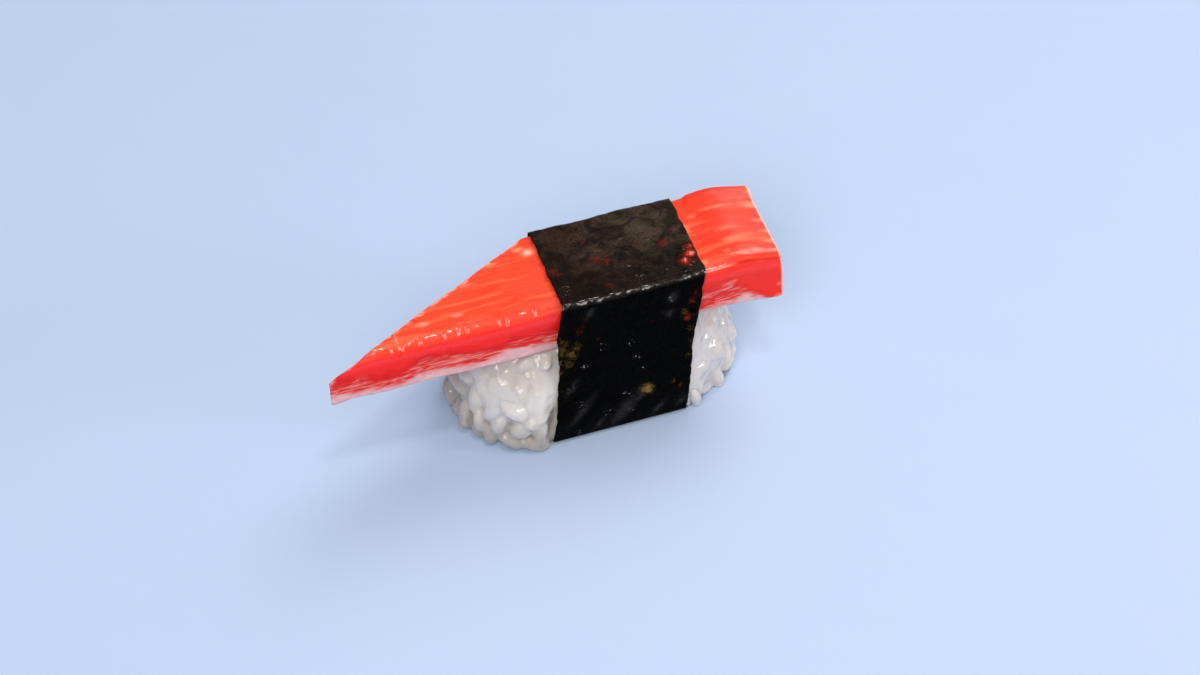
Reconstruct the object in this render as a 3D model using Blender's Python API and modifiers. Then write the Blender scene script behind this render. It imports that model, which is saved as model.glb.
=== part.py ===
"""Nigiri sushi: an oblong pad of pressed rice, a stick of surimi lying on it with one end
cut on the bias, and a strip of nori wrapped over the stick, down both sides and under the pad.

Metres, +Z up. The origin is in the resting plane, under the middle of the stick. The stick
runs along X with its bias cut at -X, and -Y is the near side.
"""

import math
import random

import bmesh
import bpy
from mathutils import Matrix, Vector, noise
from mathutils.bvhtree import BVHTree

MM = 0.001
GAP = 0.3 * MM  # between two pieces that touch
SHARP_ANGLE = math.radians(40)

# Rice pad: the outline that its grains reach. Its section is widest at the waist.
PAD_MIDDLE_X = 7.0 * MM
PAD_LEFT_LENGTH = 27.9 * MM
PAD_RIGHT_LENGTH = 31.0 * MM
PAD_HALF_WIDTH = 17.2 * MM
PAD_PINCH = 1.9 * MM  # how far the strip presses each side in
PAD_BULGE = 1.4 * MM  # of the near side, pressed out past the strip's left edge
PAD_BULGE_X = -9.0 * MM
PAD_BULGE_REACH = 8.0 * MM
PAD_FAR_FLAT = 0.4 * MM  # how much less the far side stands out
PAD_TOP = 20.5 * MM
PAD_WAIST = 3.0 * MM
PAD_CROWN = 23.5 * MM  # from the waist up to where the rounded section would close
PAD_FOOT = 7.0 * MM  # from the waist down to where it would close
PAD_UPPER_POWER = 2.1
PAD_LOWER_POWER = 3.5
PAD_LEFT_POWER = 2.4
PAD_RIGHT_POWER = 2.3
PAD_SLICES = (20, 9, 9)

# Grains of cooked short-grain rice, partly sunk in the pad.
GRAIN_LENGTH = 6.4 * MM
GRAIN_THICKNESS = 3.0 * MM
GRAIN_PROUD = 1.1 * MM
GRAIN_SPACING = 3.3 * MM
GRAIN_BEND = 0.4 * MM
MOST_GRAINS = 170
SPOT_TRIES = 8000
LOWEST_SPOT = 0.3 * MM
SINK_TRIES = 12
SINK_STEP = 0.12 * MM
GRAIN_SUNK = 0.5 * MM  # at most, where nothing is in a grain's way
STRIP_COVERS = 0.95  # of under_strip, above which a grain would be hidden
BULGE_START = 4.0 * MM  # how far from the strip's edges the pad has its full width again
RICE_SEED = 4
STRAY_GRAIN = (25.1 * MM, -14.6 * MM, 2.4 * MM)  # stands at the foot of the strip's right edge
STRAY_LEAN = math.radians(78)
STRAY_SIZE = 0.86

# Surimi stick: a bar with rounded long edges, cut square at +X and on the bias at -X.
STICK_LENGTH = 90.0 * MM
STICK_WIDTH = 21.8 * MM
STICK_BOTTOM = PAD_TOP + GAP
STICK_THICKNESS = 10.5 * MM
STICK_TOP = STICK_BOTTOM + STICK_THICKNESS
STICK_NEAR_RADIUS = 3.2 * MM  # along the near upper edge
STICK_FAR_RADIUS = 1.3 * MM
STICK_LOWER_RADIUS = 0.6 * MM
STICK_CORNER_RADIUS = 1.0 * MM  # round the square end
STICK_RELIEF = 0.3 * MM  # depth of the slow hollows in its faces
RELIEF_PER_METRE = 120  # hollows of about 8 mm
STICK_SLICES = (34, 9, 4)
SPARE_LENGTH = 10.0 * MM  # which the bias cut takes off
BIAS_ANGLE = math.radians(28.6)  # from the stick's length
BIAS_ROLL_IN = 2.5 * MM  # the soft upper edge of the cut has rolled in by this much,
BIAS_ROLL_HEIGHT = 4.2 * MM  # over this height
DROOP_START_X = 33.0 * MM
DROOP = 1.4 * MM
SWELL_X = 37.0 * MM  # where the stick is thickest, past the strip's pinch
SWELL_REACH = 5.5 * MM
SWELL = 0.5 * MM  # of its upper and of its lower face

# Nori strip.
NORI_THICKNESS = 0.34 * MM
NORI_MIDDLE_X = 14.7 * MM
NORI_WIDTH = 28.4 * MM
NORI_WAIST_WIDTH = 26.8 * MM  # below the stick, where the strip has drawn in
NORI_NEAR_SKEW = -5.4 * MM  # how far the strip has drifted along X at its near foot
NORI_FAR_SKEW = 1.0 * MM
NORI_SKEW_POWER = 0.75  # under 1: it drifts soonest near the top
NORI_TUCK = 9.0 * MM  # how far each end reaches in under the pad
NORI_LIFT = 0.15 * MM  # of the tucked ends above the resting plane
NORI_RIPPLE = 0.2 * MM
NORI_RAGGED = 0.25 * MM
NORI_GRID = (13, 56)

RECESS_TOP = NORI_LIFT + NORI_THICKNESS + 2 * NORI_RIPPLE + GAP  # room for the tucked ends
RECESS_MARGIN = 0.8 * MM


def clear_scene():
    for obj in list(bpy.data.objects):
        bpy.data.objects.remove(obj)


def new_collection(name):
    collection = bpy.data.collections.new(name)
    bpy.context.scene.collection.children.link(collection)
    return collection


def food_material(name, colour, roughness):
    material = bpy.data.materials.new(name)
    material.use_nodes = True
    shader = material.node_tree.nodes["Principled BSDF"]
    shader.inputs["Base Color"].default_value = (*colour, 1.0)
    shader.inputs["Roughness"].default_value = roughness
    shader.inputs["Metallic"].default_value = 0.0
    return material


def smooth_shading(data):
    data.shade_smooth()
    data.set_sharp_from_angle(angle=SHARP_ANGLE)


def object_from(mesh, name, collection):
    """Turns a bmesh into a named object and frees the bmesh."""
    data = bpy.data.meshes.new(name)
    mesh.to_mesh(data)
    mesh.free()
    smooth_shading(data)
    obj = bpy.data.objects.new(name, data)
    collection.objects.link(obj)
    return obj


def smoothstep(low, high, value):
    share = min(1.0, max(0.0, (value - low) / (high - low)))
    return share * share * (3.0 - 2.0 * share)


def slice_across(mesh, axis, start, stop, count):
    """Adds loops of edges on evenly spaced planes across one axis."""
    normal = Vector((0.0, 0.0, 0.0))
    normal[axis] = 1.0
    for i in range(1, count):
        place = normal * (start + (stop - start) * i / count)
        geometry = mesh.verts[:] + mesh.edges[:] + mesh.faces[:]
        bmesh.ops.bisect_plane(mesh, geom=geometry, dist=1e-7, plane_co=place, plane_no=normal)


# ---- surimi stick ----


def bias_planes():
    """The bias cut as two points with outward normals: its upright face, and its rolled upper edge."""
    tip = Vector((-STICK_LENGTH / 2, -STICK_WIDTH / 2, STICK_TOP))
    across = Vector((-math.sin(BIAS_ANGLE), math.cos(BIAS_ANGLE), 0.0))
    lean = math.atan2(BIAS_ROLL_IN, BIAS_ROLL_HEIGHT)
    rolled = across * math.cos(lean) + Vector((0.0, 0.0, math.sin(lean)))
    return (tip, across), (tip - across * BIAS_ROLL_IN, rolled)


def cut_off(mesh, place, normal):
    """Cuts away what lies beyond a plane and closes the cut."""
    geometry = mesh.verts[:] + mesh.edges[:] + mesh.faces[:]
    cut = bmesh.ops.bisect_plane(
        mesh, geom=geometry, dist=1e-7, plane_co=place, plane_no=normal, clear_outer=True
    )
    rim = [item for item in cut["geom_cut"] if isinstance(item, bmesh.types.BMEdge)]
    bmesh.ops.holes_fill(mesh, edges=rim, sides=0)


def round_edges(mesh, wanted, radius, segments):
    edges = [edge for edge in mesh.edges if wanted(*(v.co for v in edge.verts))]
    bmesh.ops.bevel(
        mesh,
        geom=edges,
        offset=radius,
        segments=segments,
        profile=0.5,
        affect="EDGES",
        material=-1,
    )


def stick_relief(point):
    """How far a point of the stick's skin lies below its flat faces."""
    return STICK_RELIEF * (0.5 - noise.noise(point * RELIEF_PER_METRE))


def surimi_stick(parts):
    mesh = bmesh.new()
    bmesh.ops.create_cube(mesh, size=1.0)
    raw_length = STICK_LENGTH + SPARE_LENGTH
    bmesh.ops.scale(mesh, vec=(raw_length, STICK_WIDTH, STICK_THICKNESS), verts=mesh.verts)
    middle = Vector(((STICK_LENGTH - raw_length) / 2, 0.0, (STICK_BOTTOM + STICK_TOP) / 2))
    bmesh.ops.translate(mesh, vec=middle, verts=mesh.verts)

    def lengthwise(a, b):
        return abs(a.x - b.x) > STICK_WIDTH

    def upper(a):
        return a.z > STICK_TOP - 0.1 * MM

    def near_upper(a, b):
        return lengthwise(a, b) and upper(a) and a.y < 0

    def far_upper(a, b):
        return lengthwise(a, b) and upper(a) and a.y > 0

    round_edges(mesh, lambda a, b: lengthwise(a, b) and not upper(a), STICK_LOWER_RADIUS, 1)
    round_edges(mesh, near_upper, STICK_NEAR_RADIUS, 4)
    round_edges(mesh, far_upper, STICK_FAR_RADIUS, 2)
    round_edges(mesh, lambda a, b: min(a.x, b.x) > STICK_LENGTH / 2 - MM, STICK_CORNER_RADIUS, 2)
    for place, normal in bias_planes():
        cut_off(mesh, place, normal)
    slice_across(mesh, 0, -STICK_LENGTH / 2, STICK_LENGTH / 2, STICK_SLICES[0])
    slice_across(mesh, 1, -STICK_WIDTH / 2, STICK_WIDTH / 2, STICK_SLICES[1])
    slice_across(mesh, 2, STICK_BOTTOM, STICK_TOP, STICK_SLICES[2])
    bmesh.ops.remove_doubles(mesh, verts=mesh.verts, dist=0.03 * MM)

    mesh.normal_update()
    sinks = [(vert, vert.normal * stick_relief(vert.co)) for vert in mesh.verts]
    for vert, sink in sinks:
        vert.co -= sink
        upward = (vert.co.z - middle.z) / (STICK_THICKNESS / 2)
        vert.co.z += SWELL * upward * math.exp(-(((vert.co.x - SWELL_X) / SWELL_REACH) ** 2))
        past = max(0.0, vert.co.x - DROOP_START_X) / (STICK_LENGTH / 2 - DROOP_START_X)
        vert.co.z -= DROOP * past**2
    bmesh.ops.triangulate(mesh, faces=mesh.faces)
    return object_from(mesh, "surimi_stick", parts)


# ---- nori strip ----


def stick_section():
    """Points in the YZ plane round the upper edges of the stick."""
    points = []
    for side, radius in ((-1, STICK_NEAR_RADIUS), (1, STICK_FAR_RADIUS)):
        for step in range(7):
            turn = math.radians(90) * step / 6
            y = STICK_WIDTH / 2 - radius * (1 - math.cos(turn))
            z = STICK_TOP - radius * (1 - math.sin(turn))
            points.append(Vector((side * y, z)))
    return points


def section_reach(v, w):
    """How many times further out than the pad's section a point lies, for v across and w up."""
    power = PAD_UPPER_POWER if w > 0 else PAD_LOWER_POWER
    return (abs(v) ** power + abs(w) ** power) ** (1 / power)


def pad_section():
    """Points in the YZ plane round the pad at its widest, above the recess for the strip's ends."""
    points = []
    for step in range(120):
        turn = math.radians(3) * step
        v, w = math.cos(turn), math.sin(turn)
        reach = section_reach(v, w)
        y = (PAD_HALF_WIDTH - PAD_PINCH) * v / reach
        z = PAD_WAIST + (PAD_CROWN if w > 0 else PAD_FOOT) * w / reach
        points.append(Vector((y, min(PAD_TOP, max(RECESS_TOP, z)))))
    return points


def strip_line():
    """The strip's middle line in the YZ plane: drawn tight round stick and pad, from near end to far end."""
    held = stick_section() + pad_section()
    clearance = GAP + NORI_RIPPLE + NORI_THICKNESS / 2
    line = []
    for step in range(1, 180):
        turn = math.radians(2) * step
        outward = Vector((-math.sin(turn), -math.cos(turn)))
        line.append(max(held, key=outward.dot) + outward * clearance)
    near_end = Vector((-PAD_HALF_WIDTH + NORI_TUCK, line[0].y))
    far_end = Vector((PAD_HALF_WIDTH - NORI_TUCK, line[-1].y))
    return [near_end, *line, far_end]


def along(line, share):
    """The point at a share of a line's length, and the direction across the line there."""
    lengths = [(b - a).length for a, b in zip(line, line[1:])]
    left = share * sum(lengths)
    for a, b, length in zip(line, line[1:], lengths):
        if left <= length and length > 0:
            break
        left -= length
    way = (b - a).normalized()
    return a + way * min(left, length), Vector((-way.y, way.x))


def strip_edges(y, z):
    """The X of the strip's two side edges where its line passes y and z."""
    drop = (1 - max(0.0, min(z, STICK_TOP)) / STICK_TOP) ** NORI_SKEW_POWER
    middle = NORI_MIDDLE_X + drop * (NORI_NEAR_SKEW if y < 0 else NORI_FAR_SKEW)
    drawn_in = smoothstep(STICK_TOP - 6 * MM, STICK_TOP - 14 * MM, z)
    half = (NORI_WIDTH + (NORI_WAIST_WIDTH - NORI_WIDTH) * drawn_in) / 2
    return middle - half, middle + half


def nori_strip(parts):
    """A grid laid along the strip's line, rippled, with ragged side edges."""
    line = strip_line()
    mesh = bmesh.new()
    bmesh.ops.create_grid(mesh, x_segments=NORI_GRID[0], y_segments=NORI_GRID[1], size=1.0)
    for vert in mesh.verts:
        across, share = vert.co.x, (vert.co.y + 1) / 2
        point, outward = along(line, share)
        left, right = strip_edges(*point)
        x = left + (right - left) * (across + 1) / 2
        if abs(across) > 0.99:
            x += NORI_RAGGED * noise.noise(Vector((across * 9, share * 60, 0.5)))
        loose = smoothstep(0.08, 0.14, share) * smoothstep(0.92, 0.86, share)  # 0 under the pad
        ripple = noise.noise(Vector((x * 130, share * 11, 2.1))) * NORI_RIPPLE * loose
        point = point + outward * ripple
        vert.co = (x, point.x, point.y)
    bmesh.ops.triangulate(mesh, faces=mesh.faces)
    bmesh.ops.recalc_face_normals(mesh, faces=mesh.faces)
    strip = object_from(mesh, "nori_band", parts)
    sheet = strip.modifiers.new("thickness", "SOLIDIFY")
    sheet.thickness = NORI_THICKNESS
    sheet.offset = 0.0
    return strip


# ---- rice pad ----


def under_strip(point):
    """1 where the strip holds the pad, falling to 0 past both of its edges."""
    left, right = strip_edges(point.y, point.z)
    past_left = smoothstep(left - BULGE_START, left, point.x)
    return past_left * smoothstep(right + BULGE_START, right, point.x)


def half_width(x, side):
    """How far the pad's widest place stands out, past the strip, on the near (-) or the far side."""
    if side > 0:
        return PAD_HALF_WIDTH - PAD_FAR_FLAT
    return PAD_HALF_WIDTH + PAD_BULGE * math.exp(-(((x - PAD_BULGE_X) / PAD_BULGE_REACH) ** 2))


def pad_core(parts):
    """The pad under its grains: a sliced cube drawn onto a rounded oblong, in where the strip holds it."""
    mesh = bmesh.new()
    bmesh.ops.create_cube(mesh, size=2.0)
    for axis, count in enumerate(PAD_SLICES):
        slice_across(mesh, axis, -1.0, 1.0, count)
    for vert in mesh.verts:
        u, v, w = vert.co
        length = PAD_LEFT_LENGTH if u < 0 else PAD_RIGHT_LENGTH
        crown = PAD_CROWN if w > 0 else PAD_FOOT
        end_power = PAD_LEFT_POWER if u < 0 else PAD_RIGHT_POWER
        reach = section_reach(v, w)
        out = vert.co / (abs(u) ** end_power + reach**end_power) ** (1 / end_power)
        width = half_width(PAD_MIDDLE_X + length * out.x, v)
        skin = Vector((PAD_MIDDLE_X + length * out.x, width * out.y, PAD_WAIST + crown * out.z))
        hidden = under_strip(skin)
        held = Vector((out.x, v / reach, w / reach)) if hidden > 0 else out
        out = out.lerp(held, hidden)
        width += (PAD_HALF_WIDTH - PAD_PINCH - width) * hidden
        inset = GRAIN_PROUD * (1 - hidden)
        x = PAD_MIDDLE_X + (length - inset) * out.x
        y = (width - inset) * out.y
        z = PAD_WAIST + (crown - inset) * out.z
        vert.co = (x, y, min(PAD_TOP, z))
    bmesh.ops.triangulate(mesh, faces=mesh.faces)
    return object_from(mesh, "rice_pad", parts)


def grain_mesh():
    """One blunt, slightly bent grain along X: a pole, three rings of five and a pole."""
    mesh = bmesh.new()
    bmesh.ops.create_uvsphere(mesh, u_segments=5, v_segments=4, radius=1.0)
    bmesh.ops.rotate(mesh, verts=mesh.verts, matrix=Matrix.Rotation(math.radians(90), 3, "Y"))
    for vert in mesh.verts:
        reach, across, up = vert.co
        blunt = 1.15 if 0.1 < abs(reach) < 0.9 else 1.0
        across *= blunt * GRAIN_THICKNESS / 2
        up *= blunt * GRAIN_THICKNESS / 2
        vert.co = (reach * GRAIN_LENGTH / 2, across, up - GRAIN_BEND * reach * reach)
    bmesh.ops.triangulate(mesh, faces=mesh.faces)
    data = bpy.data.meshes.new("grain")
    mesh.to_mesh(data)
    mesh.free()
    return data


def spread_spots(core, rng):
    """Places and normals on the core, evenly apart, where the stick and the strip leave rice to be seen."""
    cut_place, cut_normal = bias_planes()[0]
    spots = []
    faces = [face for face in core.data.polygons if face.center.z > 0]
    for face in rng.choices(faces, [face.area for face in faces], k=SPOT_TRIES):
        a, b = sorted((rng.random(), rng.random()))
        corners = [core.data.vertices[i].co for i in face.vertices]
        spot = corners[0] * a + corners[1] * (b - a) + corners[2] * (1 - b)
        under_stick = (
            spot.z > PAD_TOP - 0.1 * MM
            and abs(spot.y) < STICK_WIDTH / 2 - MM
            and (spot - cut_place).dot(cut_normal) < -MM
        )
        if under_stick or under_strip(spot) > STRIP_COVERS or spot.z < LOWEST_SPOT:
            continue
        if all((spot - other).length > GRAIN_SPACING for other, _ in spots):
            spots.append((spot, face.normal.copy()))
    return spots


def clear_of(neighbours, data, move):
    """True where a grain crosses no neighbour and keeps the gap to it."""
    points = [move @ vert.co for vert in data.vertices]
    tree = BVHTree.FromPolygons(points, [face.vertices for face in data.polygons])
    for other in neighbours:
        if tree.overlap(other):
            return False
        if any(other.find_nearest(point, GAP)[0] is not None for point in points):
            return False
    return True


def lay_grains(core, neighbours, collection):
    """Lays grains flat on the core at any turn, each sunk deeper until it clears the stick and the strip."""
    rng = random.Random(RICE_SEED)
    data = grain_mesh()
    upright = Matrix.Rotation(STRAY_LEAN, 4, "Y") @ Matrix.Scale(STRAY_SIZE, 4)
    moves = [Matrix.Translation(STRAY_GRAIN) @ upright]
    for spot, normal in spread_spots(core, rng)[:MOST_GRAINS]:
        for attempt in range(SINK_TRIES):
            turn = normal.to_track_quat("Z", "X").to_matrix().to_4x4()
            turn = turn @ Matrix.Rotation(rng.uniform(0, math.pi), 4, "Z")
            turn = turn @ Matrix.Rotation(rng.uniform(-0.3, 0.3), 4, "Y")
            sunk = spot - normal * (rng.uniform(0.0, GRAIN_SUNK) + SINK_STEP * attempt)
            move = Matrix.Translation(sunk) @ turn @ Matrix.Scale(rng.uniform(0.88, 1.1), 4)
            if clear_of(neighbours, data, move):
                moves.append(move)
                break
    for number, move in enumerate(moves):
        grain = bpy.data.objects.new(f"grain_{number}", data)
        grain.matrix_world = move
        collection.objects.link(grain)


def apply_boolean(obj, operation, solver, other):
    """Applies one Boolean, with an object or with every object of a collection."""
    modifier = obj.modifiers.new(operation, "BOOLEAN")
    modifier.operation = operation
    modifier.solver = solver
    if isinstance(other, bpy.types.Collection):
        modifier.operand_type = "COLLECTION"
        modifier.collection = other
    else:
        modifier.object = other
    bpy.context.view_layer.update()
    graph = bpy.context.evaluated_depsgraph_get()
    made = bpy.data.meshes.new_from_object(obj.evaluated_get(graph))
    obj.modifiers.clear()
    obj.data = made


def box_cutter(name, low, high, cutters):
    mesh = bmesh.new()
    bmesh.ops.create_cube(mesh, size=1.0)
    low, high = Vector(low), Vector(high)
    bmesh.ops.scale(mesh, vec=high - low, verts=mesh.verts)
    bmesh.ops.translate(mesh, vec=(low + high) / 2, verts=mesh.verts)
    cutter = object_from(mesh, name, cutters)
    cutter.hide_render = True
    cutter.display_type = "WIRE"
    return cutter


def keep_outer_shell(obj):
    """Fills hollows that the grains have sealed and drops loose scraps, leaving the one outer surface."""
    mesh = bmesh.new()
    mesh.from_mesh(obj.data)
    shells = []
    unseen = set(mesh.verts)
    while unseen:
        shell = [unseen.pop()]
        for vert in shell:
            linked = {edge.other_vert(vert) for edge in vert.link_edges} & unseen
            unseen -= linked
            shell.extend(linked)
        shells.append(shell)
    shells.sort(key=len)
    spare = [vert for shell in shells[:-1] for vert in shell]
    bmesh.ops.delete(mesh, geom=spare, context="VERTS")
    mesh.to_mesh(obj.data)
    mesh.free()
    smooth_shading(obj.data)


def rice_pad(parts, stick, strip):
    bpy.context.view_layer.update()
    graph = bpy.context.evaluated_depsgraph_get()
    neighbours = [BVHTree.FromObject(obj, graph) for obj in (stick, strip)]
    pad = pad_core(parts)
    grains = new_collection("grains")
    lay_grains(pad, neighbours, grains)
    apply_boolean(pad, "UNION", "MANIFOLD", grains)
    for grain in list(grains.objects):
        bpy.data.objects.remove(grain)
    bpy.data.collections.remove(grains)

    cutters = new_collection("cutters")
    reach = STICK_LENGTH
    floor = box_cutter("resting_plane", (-reach, -reach, -reach), (reach, reach, 0.0), cutters)
    apply_boolean(pad, "DIFFERENCE", "MANIFOLD", floor)
    for name, side in (("near_recess", -1), ("far_recess", 1)):
        inner = side * (PAD_HALF_WIDTH - NORI_TUCK - RECESS_MARGIN)
        outer = side * reach
        left, right = strip_edges(side, 0)
        low = (left - RECESS_MARGIN, min(inner, outer), -reach)
        high = (right + RECESS_MARGIN, max(inner, outer), RECESS_TOP)
        apply_boolean(pad, "DIFFERENCE", "MANIFOLD", box_cutter(name, low, high, cutters))
    keep_outer_shell(pad)
    return pad


def main():
    clear_scene()
    parts = new_collection("nigiri")
    stick = surimi_stick(parts)
    strip = nori_strip(parts)
    pad = rice_pad(parts, stick, strip)
    pad.data.materials.append(food_material("rice", (0.80, 0.79, 0.74), 0.35))
    stick.data.materials.append(food_material("surimi", (0.85, 0.09, 0.03), 0.35))
    strip.data.materials.append(food_material("nori", (0.012, 0.014, 0.010), 0.45))


main()
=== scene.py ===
import math
import random

import bmesh
import bpy
from mathutils import Matrix, Vector, noise
from mathutils.bvhtree import BVHTree
from mathutils.kdtree import KDTree


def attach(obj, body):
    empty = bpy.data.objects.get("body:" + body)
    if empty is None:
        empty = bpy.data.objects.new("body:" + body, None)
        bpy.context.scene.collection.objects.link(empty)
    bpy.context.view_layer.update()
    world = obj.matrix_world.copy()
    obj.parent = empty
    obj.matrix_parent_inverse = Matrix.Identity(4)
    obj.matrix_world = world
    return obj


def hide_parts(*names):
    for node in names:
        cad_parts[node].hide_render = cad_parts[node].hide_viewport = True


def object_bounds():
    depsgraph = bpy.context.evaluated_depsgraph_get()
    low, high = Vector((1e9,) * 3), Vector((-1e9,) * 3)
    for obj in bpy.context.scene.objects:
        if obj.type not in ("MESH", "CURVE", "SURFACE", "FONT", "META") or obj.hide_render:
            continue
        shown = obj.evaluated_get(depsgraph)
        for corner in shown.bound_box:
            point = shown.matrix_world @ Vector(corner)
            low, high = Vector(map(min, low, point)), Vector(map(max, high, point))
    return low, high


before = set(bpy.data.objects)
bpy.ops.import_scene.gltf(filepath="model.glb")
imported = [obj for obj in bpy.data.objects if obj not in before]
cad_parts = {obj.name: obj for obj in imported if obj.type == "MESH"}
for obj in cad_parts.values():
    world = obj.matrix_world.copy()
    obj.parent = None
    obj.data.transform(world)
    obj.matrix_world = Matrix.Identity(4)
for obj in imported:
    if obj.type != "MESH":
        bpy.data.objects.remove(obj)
cad_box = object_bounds()

MM = 0.001


# ---- Table, light and camera ----
# A plain pale-blue table. Two large soft lamps light the piece, one high behind it on the right and
# one in front on the left. Two small ones make the wet spots glint, and a pale room fills the shade.
# The camera looks down at 45 degrees with a long lens.

TABLE_BLUE, TABLE_CLOUD = "#B1C5E5", "#B7CAE8"
TABLE_HALF_SIZE = 2.0
TABLE_DROP = 0.05 * MM  # below the plane that the rice rests on
ROOM_WHITE, ROOM_STRENGTH = "#F2F5FA", 0.32
LAMP_WHITE = "#FFFBF4"
# Each lamp's place and size in m, its power in W, and how far its beam spreads in degrees
LAMPS = {
    "soft_lamp": ((0.56, 0.44, 0.72), 0.62, 6.0, 180),
    "front_lamp": ((-0.30, -0.62, 0.68), 0.5, 5.3, 180),
    "small_lamp": ((0.05, -0.28, 0.95), 0.12, 1.6, 180),
    "side_lamp": ((0.62, -0.32, 0.18), 0.15, 0.15, 60),
}
LAMP_AIM = (0, 0, 0.02)
CAMERA_AZIMUTH, CAMERA_ELEVATION, CAMERA_ROLL = -16.0, 45.4, -2.8  # degrees
CAMERA_DISTANCE = 617.6 * MM
CAMERA_SHIFT = (9.82 * MM, 9.33 * MM)  # to the right and up, so that the piece sits as framed
CAMERA_LENS = 94.5  # for a 36 mm sensor


def linear(hexa):
    """An sRGB hex colour as the linear one that Blender takes."""
    parts = [int(hexa[i : i + 2], 16) / 255 for i in (1, 3, 5)]
    return (*(c / 12.92 if c <= 0.04045 else ((c + 0.055) / 1.055) ** 2.4 for c in parts), 1.0)


def fill(node, inputs):
    """Fills inputs of a node, by name or number: with numbers, hex colours, or sockets to link."""
    for name, value in inputs.items():
        if isinstance(value, bpy.types.NodeSocket):
            tree.links.new(value, node.inputs[name])
        else:
            node.inputs[name].default_value = linear(value) if isinstance(value, str) else value


def add_node(kind, inputs=(), output=0, **settings):
    """Adds a node to the tree of the material in hand, and gives back one of its output sockets."""
    made = tree.nodes.new("ShaderNode" + kind)
    for name, value in settings.items():
        setattr(made, name, value)
    fill(made, inputs if isinstance(inputs, dict) else dict(enumerate(inputs)))
    return made.outputs[output]


def all_of(*parts):
    """The product of its parts, each one a value, or a value and the two ends it is eased between.

    Two more numbers say what it is eased to, instead of 0 and 1.
    """
    product = 1.0
    for value, *ends in parts:
        if ends:
            value = add_node("MapRange", (value, *ends), interpolation_type="SMOOTHSTEP")
        product = add_node("Math", (product, value), operation="MULTIPLY")
    return product


FACTOR, FIRST, SECOND, MIXED = 0, 6, 7, 2  # sockets of a Mix node that mixes colours


def layered(colour, *layers):
    """Lays colours over a first one, in order. Each layer is a colour and the parts of its share."""
    for over, *parts in layers:
        inputs = {FACTOR: all_of(*parts), FIRST: colour, SECOND: over}
        colour = add_node("Mix", inputs, MIXED, data_type="RGBA")
    return colour


def new_material(name):
    material = bpy.data.materials.new(name)
    material.use_nodes = True
    return material, material.node_tree, material.node_tree.nodes["Principled BSDF"]


def object_from(mesh, name, material):
    """Turns a bmesh into a smooth-shaded object with one material, and frees the bmesh."""
    data = bpy.data.meshes.new(name)
    mesh.to_mesh(data)
    mesh.free()
    data.shade_smooth()
    data.materials.append(material)
    made = bpy.data.objects.new(name, data)
    bpy.context.scene.collection.objects.link(made)
    return made


# Matt painted board: no grain to see, and no more than a breath of unevenness in its colour.
table_paint, tree, shader = new_material("matt_table_paint")
place = add_node("TexCoord", output="Object")
cloud = add_node("TexNoise", {"Vector": place, "Scale": 6.0, "Detail": 3.0})
tint = layered(TABLE_BLUE, (TABLE_CLOUD, (cloud,)))
fill(shader, {"Base Color": tint, "Roughness": 0.65, "Specular IOR Level": 0.25})

mesh = bmesh.new()
bmesh.ops.create_grid(mesh, x_segments=4, y_segments=4, size=TABLE_HALF_SIZE)
bmesh.ops.translate(mesh, vec=(0, 0, -TABLE_DROP), verts=mesh.verts)
object_from(mesh, "table", table_paint)

for name, (place, size, power, spread) in LAMPS.items():
    light = bpy.data.lights.new(name, "AREA")
    light.size = size
    light.energy = power
    light.color = linear(LAMP_WHITE)[:3]
    light.spread = math.radians(spread)
    lamp = bpy.data.objects.new(name, light)
    aim = (Vector(place) - Vector(LAMP_AIM)).to_track_quat("Z", "Y")
    lamp.matrix_world = Matrix.Translation(place) @ aim.to_matrix().to_4x4()
    bpy.context.scene.collection.objects.link(lamp)

room = bpy.data.worlds.new("room")
room.use_nodes = True
fill(room.node_tree.nodes["Background"], {"Color": ROOM_WHITE, "Strength": ROOM_STRENGTH})
bpy.context.scene.world = room
bpy.context.scene.view_settings.view_transform = "Standard"

azimuth, elevation, roll = map(math.radians, (CAMERA_AZIMUTH, CAMERA_ELEVATION, CAMERA_ROLL))
back = Vector((math.sin(azimuth), -math.cos(azimuth), math.tan(elevation))).normalized()
level = (-back).cross(Vector((0, 0, 1))).normalized()
upright = level.cross(-back)
right = level * math.cos(roll) + upright * math.sin(roll)
up = upright * math.cos(roll) - level * math.sin(roll)
camera = bpy.data.objects.new("camera", bpy.data.cameras.new("camera"))
camera.data.sensor_width = 36.0
camera.data.lens = CAMERA_LENS
camera.data.clip_start = 0.01
stand = back * CAMERA_DISTANCE + right * CAMERA_SHIFT[0] + up * CAMERA_SHIFT[1]
camera.matrix_world = Matrix.Translation(stand) @ Matrix((right, up, back)).transposed().to_4x4()
bpy.context.scene.collection.objects.link(camera)
bpy.context.scene.camera = camera


# ---- Rice pad ----
# Cooked short-grain rice, pressed into an oblong in the palm. Where the fingers pressed it, high
# on the near side, the grains have run together into one soft mass; low down and at the ends
# each grain still shows. It is one fused body, with the free grains laid on it below.

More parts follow.
